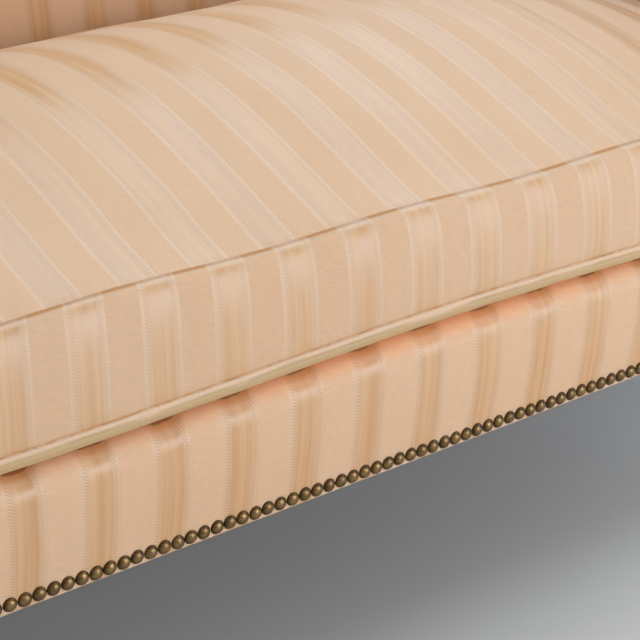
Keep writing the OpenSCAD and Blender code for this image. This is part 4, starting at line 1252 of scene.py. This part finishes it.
class LOVESEAT_OT_inside_back(bpy.types.Operator):
    """Pad and cover the inside back, up over its camel crest"""

    bl_idname = "loveseat.inside_back"
    bl_label = "Inside back"

    def execute(self, context):
        size = context.scene.loveseat_back
        t = size.thickness
        foot = (DECK_TOP + GAP - RAIL_TOP - t * math.sin(size.rake)) / math.cos(size.rake)
        wide = SEAT_X - GAP
        x = wide * edge_steps(wide, [0, 0.001, 0.0025, 0.005, 0.009, 0.015], 0.0062)
        front = 1 - (1 - np.linspace(0, 1, 58)) ** 1.25
        rows = []
        top = camel(x)
        shoulder = top - size.arch
        swell = size.swell * np.sqrt(np.clip(1 - (x / SEAT_X) ** 2, 0, 1))
        half = (t + size.wrap) / 2
        for h in front:
            bulge = swell * np.sin(np.pi * np.clip(h, 0, 1)) ** 0.8
            rows.append(stack(x, -t - bulge, foot + (shoulder - foot) * h))
        for a in np.linspace(0, np.pi, 40)[1:]:
            over = math.copysign(half * math.sqrt(abs(math.cos(a))), math.cos(a))
            rows.append(stack(x, size.wrap - half - over, shoulder + size.arch * math.sqrt(abs(math.sin(a)))))
        for drop in (0.3, 0.6, 0.85, 1.0):
            rows.append(stack(x, size.wrap, shoulder - size.lap * drop))
        grid = np.array(rows)
        up = down_length(grid)
        gx = grid[..., 0]
        side = SEAT_X - np.abs(gx)
        face = np.arange(len(rows))[:, None] < len(front)
        # Slow unevenness, pulls at the ends where the cover turns in behind the arms
        gz = grid[..., 2]
        soft = 0.0018 * unevenness(gx, gz, 91, 0.28) + 0.0008 * unevenness(gx, gz, 92, 0.1)
        soft = soft * step(0, 0.05, side) * step(foot, foot + 0.04, gz)
        pull = -0.0016 * np.exp(-side / 0.02) * (0.5 + 0.5 * wander(gz, 93, [0.05, 0.09]))
        low = -0.0035 * np.exp(-(gz - foot) / 0.02)
        points = leaned(gx, grid[..., 1] - (soft + pull + low) * face, gz)
        sewing = Sewing("inside_back_cloth")
        # Painted warm bounce light where the cover turns in at the arms and at the deck
        deep = np.exp(-side / 0.003) * 0.7 + np.exp(-(gz - foot) / 0.012) * 0.6
        sewing.grid(points, stack(gx, up), np.clip(deep, 0, 1))
        # The hidden rear, which closes the padded form
        rear = np.stack([leaned(x, -0.0338, row[:, 2]) for row in (grid[-1], grid[0])])
        rear = np.concatenate([points[-1:], rear, points[:1]])
        sewing.grid(rear, stack(x, gz[[-1, -1, 0, 0]]), 0.5)
        for end in (0, -1):
            loop = np.concatenate([points[:, end], rear[1:3, end], points[:1, end]])
            centre = leaned(x[end], -t * 0.62, (foot + shoulder[end]) / 2 + 0.02)
            cap = fan(loop, centre, [0, 0.5, 1])
            sewing.grid(cap, cap[..., 1:], 0.4)
        piece = sewing.make(striped_cloth("striped cloth, inside back"))
        settle(piece, "cover_cloth", "inside_back_cover", "inside_back_pad", fill=0.85)
        return {"FINISHED"}


class LOVESEAT_OT_outside_back(bpy.types.Operator):
    """Close the outside back with one striped panel"""

    bl_idname = "loveseat.outside_back"
    bl_label = "Outside back"

    def execute(self, context):
        size = context.scene.loveseat_back
        y0 = size.wrap + GAP
        y1 = y0 + 0.003
        radius = ROLL_R - 0.003
        roll_l = (ROLL_Z - RAIL_TOP + y0 * math.sin(size.rake)) / math.cos(size.rake)
        drop, foot = 0.022, -0.003
        # Stations from the middle out over the arm's roll, in the leaning frame
        turn = math.acos((ARM_X - ROLL_X) / radius)
        angles = np.concatenate([np.linspace(np.pi, turn, 40), np.linspace(turn, 0, 13)[1:]])
        xs = np.concatenate([np.linspace(0, SEAT_X, 90), ROLL_X + radius * np.cos(angles)])
        top = np.concatenate([camel(xs[:90]) - drop, roll_l + radius * np.sin(angles)])
        level = roll_l - radius * math.sin(turn)
        bottom = np.concatenate([np.full(130, level), roll_l - radius * np.sin(angles[40:])])
        lines = ((-1, xs), (1, top), (1, bottom))
        xs, top, bottom = (np.concatenate([sign * line[:0:-1], line]) for sign, line in lines)
        panel = slice(12, len(xs) - 12)
        sewing = Sewing("outside_back_cloth")

        def part(columns, low, high, shares):
            """A face of the panel from low to high at its columns, with its hidden inner side."""
            x, t = np.meshgrid(xs[columns], shares)
            z = low[columns] + (high[columns] - low[columns]) * t
            side = np.where(z < level, ARM_X - np.abs(x), 1.0)
            under = z - np.where(np.abs(x) > ARM_X + 1e-6, low[columns], foot)
            dist = np.minimum(np.minimum(top[columns] - z, side), under)
            puff = 0.0016 * rounding(dist, 0.006)
            puff += 0.0009 * unevenness(x, z, 101, 0.22) * step(0, 0.05, dist)
            face, inner = leaned(x, y1 + puff, z), leaned(x, y0, z)
            # Painted warm bounce light along the panel's edges
            sewing.grid(face, stack(x, z), np.exp(-dist / 0.002) * 0.6)
            sewing.grid(inner, stack(x, z), 0.5, flip=True)
            return np.stack([face, inner]), stack(x, z)

        down = np.linspace(0, 1, 18) ** 1.6
        under, cloth = part(panel, np.full_like(xs, foot), np.full_like(xs, level), down)
        sewing.grid(under[:, 0], np.stack([cloth[0]] * 2), 0.5)
        for column in (0, -1):
            sewing.grid(under[:, :, column], np.stack([cloth[:, column]] * 2), 0.5)
        over, cloth = part(slice(None), bottom, top, 1 - (1 - np.linspace(0, 1, 24)) ** 2)
        sewing.grid(over[:, -1], np.stack([cloth[-1]] * 2), 0.5)
        for ear in (slice(0, 13), slice(-13, None)):
            sewing.grid(over[:, 0, ear], np.stack([cloth[0, ear]] * 2), 0.5)
        # The upright strip over the rail
        low, high = PANEL[0].z, RAIL_TOP
        xs = np.linspace(-ARM_X, ARM_X, 160)
        zs = np.concatenate([[low, low + 0.0015, low + 0.004], np.linspace(low + 0.008, high, 16)])
        gx, gz = np.meshgrid(xs, zs)
        edge = np.minimum(gz - low, ARM_X - np.abs(gx))
        puff = 0.0014 * rounding(edge, 0.004) + 0.0004 * unevenness(gx, gz, 102, 0.12)
        strip = stack(gx, BACK_Y + 0.0033 + puff, gz)
        rear = stack(gx, BACK_Y + GAP, gz)
        cloth = stack(gx, gz)
        # Painted warm bounce light along the strip's edges
        sewing.grid(strip, stack(gx, gz - 0.29), np.exp(-edge / 0.002) * 0.6)
        sewing.grid(rear[[0, -1]], cloth[[0, -1]], 0.5, flip=True)
        sewing.rim(strip, rear, cloth, 0.5)
        piece = sewing.make(striped_cloth("striped cloth, outside back"))
        settle(piece, "cover_cloth", "outside_back_cover", fill=1.0)
        return {"FINISHED"}


# Deck and underside


class LOVESEAT_OT_deck(bpy.types.Operator):
    """Lay the deck cloth under the cushion and the black cloth under the seat"""

    bl_idname = "loveseat.deck"
    bl_label = "Deck and underside"

    def execute(self, context):
        low, high = DECK
        x, y = np.meshgrid(np.linspace(low.x, high.x, 200), np.linspace(low.y, high.y, 90))
        inside = off_edge(x, y, low, high)
        sag = -0.0012 * step(0, 0.05, inside) + 0.0009 * unevenness(x, y, 111, 0.11) * step(0, 0.04, inside)
        z = high.z - 0.0001 + np.minimum(sag, 0.0)
        top = stack(x, y, z)
        sewing = Sewing("deck_cloth")
        cloth = stack(x, y)
        # deep rises towards the deck cloth's edges, for painted shade there
        sewing.grid(top, cloth, np.exp(-inside / 0.004) * 0.5)
        base = stack(x, y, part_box("deck_padding")[0].z)
        sewing.grid(base[[0, -1]], cloth[[0, -1]], 0.5, flip=True)
        sewing.rim(top, base, cloth)
        piece = sewing.make(plain_cloth("deck cloth", tone(222, 202, 168), tone(204, 180, 142), 0.0009))
        settle(piece, "cover_cloth", "deck_cover", "deck_padding", fill=0.7)

        # The black cloth is notched round the legs at its corners
        low, high = DUST
        cut_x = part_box("front_leg_right")[0].x + 0.0035
        cut_front, cut_back = WOOD_Y + 0.0563, BACK_Y - 0.0563
        xs = [np.linspace(low.x, -cut_x, 8), np.linspace(-cut_x, cut_x, 90)[1:-1],
              np.linspace(cut_x, high.x, 8)]
        ys = [np.linspace(low.y, cut_front, 6), np.linspace(cut_front, cut_back, 50)[1:-1],
              np.linspace(cut_back, high.y, 6)]
        x, y = np.meshgrid(np.concatenate(xs), np.concatenate(ys))
        edge = off_edge(x, y, low, high)
        drop = 0.0035 * step(0, 0.2, edge) + 0.0009 * unevenness(x, y, 112, 0.13) * step(0, 0.05, edge)
        grid = stack(x, y, (low.z + high.z) / 2 - np.clip(drop, 0, 1))
        cloth = stack(x, y)
        sewing = Sewing("dust_cloth_sheet")
        between = slice(7, x.shape[1] - 7)
        for cut in ((slice(5, len(x) - 5),), (slice(0, 6), between), (slice(-6, None), between)):
            sewing.grid(grid[cut], cloth[cut])
        dust = sewing.make(plain_cloth("black dust cloth", tone(44, 43, 46), tone(26, 25, 28), 0.0011, 0.9))
        thicken(dust, 0.0006)
        settle(dust, "dust_cloth", "dust_cover")
        return {"FINISHED"}


def apply_modifiers(piece):
    graph = bpy.context.evaluated_depsgraph_get()
    made = bpy.data.meshes.new_from_object(piece.evaluated_get(graph))
    old = piece.data
    piece.modifiers.clear()
    piece.data = made
    bpy.data.meshes.remove(old)


# Wood and metal


def dressed_copy(node, name, bevel, material, slot="show_wood"):
    """A copy of a solid with softened edges, which stands for it."""
    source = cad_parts[node]
    mesh = source.data.copy()
    mesh.name = name
    mesh.materials.clear()
    mesh.materials.append(material)
    work = bmesh.new()
    work.from_mesh(mesh)
    bmesh.ops.remove_doubles(work, verts=work.verts, dist=2e-5)
    bmesh.ops.dissolve_limit(work, angle_limit=math.radians(2), verts=work.verts, edges=work.edges)
    sharp = [e for e in work.edges if len(e.link_faces) == 2 and e.calc_face_angle(0) > math.radians(25)]
    if sharp:
        bmesh.ops.bevel(work, geom=sharp, offset=bevel, segments=2, affect="EDGES", clamp_overlap=True)
    for face in work.faces:
        face.smooth = True
    bmesh.ops.triangulate(work, faces=[f for f in work.faces if len(f.verts) > 4])
    work.to_mesh(mesh)
    work.free()
    piece = new_object(name, mesh)
    even = piece.modifiers.new("even shading", "WEIGHTED_NORMAL")
    even.keep_sharp = True
    apply_modifiers(piece)
    settle(piece, slot, node)


class LOVESEAT_OT_legs(bpy.types.Operator):
    """Polish the legs, their block feet and the stretchers"""

    bl_idname = "loveseat.legs"
    bl_label = "Legs and stretchers"

    def execute(self, context):
        shade = context.scene.loveseat_wood
        legs = ("front_leg_left", "front_leg_right", "rear_leg_left", "rear_leg_right")
        sides = ("side_stretcher_left", "side_stretcher_right")
        for words, axis, bevel, nodes in (("upright", 2, 0.0016, legs), ("front to back", 1, 0.0014, sides),
                                          ("side to side", 0, 0.0014, ("cross_stretcher",))):
            polish = wood(f"polished mahogany, {words}", shade.dark, shade.light, axis, 0.26, 0.35)
            for node in nodes:
                dressed_copy(node, node + "_polished", bevel, polish)
        metal = steel("bright steel")
        dressed_copy("leg_glides", "leg_glide_domes", 0.0009, metal, "steel")
        dressed_copy("leg_bolts", "leg_bolts_steel", 0.0004, metal, "steel")
        return {"FINISHED"}


class LOVESEAT_OT_inner_frame(bpy.types.Operator):
    """Give the hidden frame, springs and webbing their wood, steel and jute"""

    bl_idname = "loveseat.inner_frame"
    bl_label = "Inner frame"

    def execute(self, context):
        shade = context.scene.loveseat_wood
        poplar = [
            wood(f"frame poplar, {words}", shade.poplar_dark, shade.poplar_light, axis, 0.7)
            for axis, words in enumerate(("side to side", "front to back", "upright"))
        ]
        # The pieces whose grain runs from side to side, from front to back, and upright
        grain = (
            ("front_seat_rail", "back_seat_rail", "corner_blocks", "back_crest_rail", "back_tack_rail"),
            ("side_seat_rail_left", "side_seat_rail_right", "seat_cross_rail", "arm_top_rail_left",
             "arm_top_rail_right", "arm_tack_rail_left", "arm_tack_rail_right"),
            ("arm_stump_left", "arm_stump_right", "back_post_left", "back_post_right", "back_center_post"),
        )
        for nodes, material in zip(grain, poplar):
            for node in nodes:
                dress(node, material)
        metal = steel("spring steel")
        for node in ("seat_springs", "spring_clips"):
            dress(node, metal)
        rough_jute = jute("jute cloth")
        low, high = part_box("seat_burlap")
        x, y = np.meshgrid(np.linspace(low.x, high.x, 60), np.linspace(low.y, high.y, 40))
        z = (low.z + high.z) / 2 - 0.0003 * step(0, 0.1, off_edge(x, y, low, high))
        sewing = Sewing("seat_burlap_sheet")
        sewing.grid(stack(x, y, z), stack(x, y))
        sheet = sewing.make(rough_jute)
        thicken(sheet, 0.0008)
        settle(sheet, "burlap", "seat_burlap")
        self.webbing(rough_jute)
        return {"FINISHED"}

    def webbing(self, material):
        """Straps laced over and under each other on the front of the back's frame."""
        size = bpy.context.scene.loveseat_back
        sewing = Sewing("back_webbing_straps")
        level, half, drop, crest, tack, lap = -0.0329, 0.0248, 0.022, 0.07, 0.048, 0.025
        foot = 0.032 * math.tan(size.rake) + GAP
        reach = SEAT_X + 0.05
        columns = [(i - 2) * 2 * SEAT_X / 6 for i in range(5)]
        rise = float(camel(SEAT_X)) - drop - crest - tack
        rows = [foot + tack + rise * j / 3 for j in (1, 2)]

        def strap(middle, s, crossed, sign, place):
            """A strap along s, which place sets in the back, laced over and under those it crosses."""
            over = sum(sign * (-1) ** i * bell(s - c, 0.03) for i, c in enumerate(crossed))
            wide, k = np.meshgrid(middle + half * np.linspace(-1, 1, 7), np.arange(len(s)))
            x, z = place(wide, s[k])
            sewing.grid(leaned(x, level + 0.0003 * over[k], z), stack(x, z))

        for i, middle in enumerate(columns):
            line = np.linspace(foot, float(camel(middle)) - drop - crest + lap, 60)
            strap(middle, line, rows, (-1) ** i, lambda wide, line: (wide, line))
        for j, middle in enumerate(rows):
            line = np.linspace(-reach, reach, 140)
            strap(middle, line, columns, -((-1) ** j), lambda wide, line: (line, wide))
        straps = sewing.make(material, join=0)
        thicken(straps, 0.0005)
        settle(straps, "burlap", "back_webbing")
        area = sum(2 * half * (float(camel(c)) - drop - crest + lap - foot) for c in columns)
        area += 2 * 2 * half * 2 * reach
        wide, tall = 2 * reach, float(camel(0.0)) - foot


def thicken(piece, thickness):
    """Give a sheet its thickness, half on each side."""
    thick = piece.modifiers.new("thickness", "SOLIDIFY")
    thick.thickness = thickness
    thick.offset = 0
    apply_modifiers(piece)


def dress(node, material):
    """Give a solid its material, and leave its shape."""
    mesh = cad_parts[node].data
    mesh.materials.clear()
    mesh.materials.append(material)


# Stage


class LOVESEAT_OT_stage(bpy.types.Operator):
    """Set the studio floor, the soft light and the camera"""

    bl_idname = "loveseat.stage"
    bl_label = "Stage"

    def execute(self, context):
        scene = context.scene
        size = scene.loveseat_stage
        scene.view_settings.view_transform = "Standard"
        r = Recipe("studio floor")
        slow = r.noise(r.place(), 1.4, 3.0)
        grit = r.noise(r.place(), 90.0, 3.0)
        painted = r.mix(r.ramp(slow, 0.3, 0.7, 0.0, 0.25), size.floor, tone(216, 214, 212))
        r.bump(grit, 0.08, 0.0004)
        floor_material = r.finish(Base_Color=painted, Roughness=r.ramp(grit, 0.3, 0.7, 0.7, 0.85))
        work = bmesh.new()
        # Floor and backdrop in one sheet that curves up far behind
        wide, far, bend, tall = 14.0, 8.0, 2.5, 9.0
        curve = np.linspace(0.1, math.pi / 2, 12)
        line = [(-wide, 0), (far, 0), *((far + bend * math.sin(a), bend * (1 - math.cos(a))) for a in curve)]
        line.append((far + bend, tall))
        lines = [[work.verts.new((x, y, z - 0.0002)) for x in (-wide, wide)] for y, z in line]
        for a, b in zip(lines, lines[1:]):
            work.faces.new([a[0], a[1], b[1], b[0]])
        from_bmesh("studio_floor", work, floor_material)

        world = bpy.data.worlds.new("studio")
        scene.world = world
        world.use_nodes = True
        tree = world.node_tree
        tree.nodes.clear()

        def node(kind, inputs, **values):
            made = tree.nodes.new("ShaderNode" + kind)
            for key, value in values.items():
                made.inputs[key].default_value = value
            for key, source in inputs.items():
                tree.links.new(source, made.inputs[key])
            return made

        # Brighter above than at the level of the floor, and plain where the camera sees it
        way = node("TexCoord", {}).outputs["Generated"]
        height = node("SeparateXYZ", {0: way}).outputs[2]
        strength = node("MapRange", {0: height}, **{"From Min": -0.1, "To Min": 0.31, "To Max": 0.57})
        soft = node("Background", {"Strength": strength.outputs[0]}, Color=(1.0, 0.99, 0.975, 1))
        plain = node("Background", {}, Color=(0.93, 0.93, 0.93, 1), Strength=1.0)
        rays = node("LightPath", {}).outputs["Is Camera Ray"]
        seen = node("MixShader", {0: rays, 1: soft.outputs[0], 2: plain.outputs[0]})
        node("OutputWorld", {0: seen.outputs[0]})

        def lamp(name, place, target, wide, tall, power, tint):
            light = bpy.data.lights.new(name, "AREA")
            light.shape = "RECTANGLE"
            light.size, light.size_y = wide, tall
            light.energy = power
            light.color = tint
            holder = new_object(name, light)
            holder.location = place
            holder.rotation_euler = (Vector(target) - Vector(place)).to_track_quat("-Z", "Y").to_euler()

        lamp("key softbox", (-0.3, -2.7, 1.35), (0, -0.3, 0.35), 1.6, 1.2, size.key, (1, 0.985, 0.96))
        lamp("high window", (2.6, 0.7, 2.9), (0, -0.25, 0.42), 5.0, 5.0, size.high, size.cool)
        lamp("low window", (1.28, -2.78, 0.78), (0, -0.35, 0.38), 1.75, 1.56, size.low, size.dull)

        lens = bpy.data.cameras.new("photograph's view")
        lens.sensor_width = 36.0
        lens.lens = size.lens
        lens.clip_start = 0.05
        camera = new_object("photograph's view", lens)
        a, e = size.turn, size.tilt
        right = Vector((math.cos(a), -math.sin(a), 0))
        forward = Vector((math.sin(a) * math.cos(e), math.cos(a) * math.cos(e), -math.sin(e)))
        up = right.cross(forward)
        # The gap between two nails that the picture shows at its lower left, and where it lies
        # from the camera: to the right, down and forward
        gap = Vector((-12.5 * scene.loveseat_nails.pitch, nail_line(), NAIL_Z))
        camera.location = gap + right * 0.0806 + up * 0.1539 - forward * 1.4691
        camera.rotation_euler = Matrix((right, up, -forward)).transposed().to_euler()
        scene.camera = camera
        return {"FINISHED"}


# Panel and registration

STEPS = (
    LOVESEAT_OT_stage,
    LOVESEAT_OT_cushion,
    LOVESEAT_OT_cushion_welt,
    LOVESEAT_OT_zip,
    LOVESEAT_OT_rail_cover,
    LOVESEAT_OT_nails,
    LOVESEAT_OT_arms,
    LOVESEAT_OT_arm_fronts,
    LOVESEAT_OT_outside_arms,
    LOVESEAT_OT_inside_back,
    LOVESEAT_OT_outside_back,
    LOVESEAT_OT_deck,
    LOVESEAT_OT_legs,
    LOVESEAT_OT_inner_frame,
)

GROUPS = {
    "loveseat_stripes": StripeSizes,
    "loveseat_colours": StripeColours,
    "loveseat_cushion": CushionSizes,
    "loveseat_rail": RailSizes,
    "loveseat_nails": NailSizes,
    "loveseat_back": BackSizes,
    "loveseat_wood": WoodColours,
    "loveseat_stage": StageSizes,
}


class LOVESEAT_PT_panel(bpy.types.Panel):
    """The loveseat's sizes, colours and steps"""

    bl_label = "Loveseat"
    bl_idname = "LOVESEAT_PT_panel"
    bl_space_type = "VIEW_3D"
    bl_region_type = "UI"
    bl_category = "Loveseat"

    def draw(self, context):
        for key in GROUPS:
            group = getattr(context.scene, key)
            box = self.layout.box()
            for name in group.bl_rna.properties.keys():
                if name not in ("rna_type", "name"):
                    box.prop(group, name)
        for kind in STEPS:
            self.layout.operator(kind.bl_idname)


def register():
    for key, group in GROUPS.items():
        bpy.utils.register_class(group)
        setattr(bpy.types.Scene, key, PointerProperty(type=group))
    for kind in STEPS:
        bpy.utils.register_class(kind)
    bpy.utils.register_class(LOVESEAT_PT_panel)


def unregister():
    bpy.utils.unregister_class(LOVESEAT_PT_panel)
    for kind in reversed(STEPS):
        bpy.utils.unregister_class(kind)
    for key, group in reversed(GROUPS.items()):
        delattr(bpy.types.Scene, key)
        bpy.utils.unregister_class(group)


def main():
    register()
    for kind in STEPS:
        getattr(bpy.ops.loveseat, kind.bl_idname.split(".")[1])()


if __name__ == "__main__":
    main()
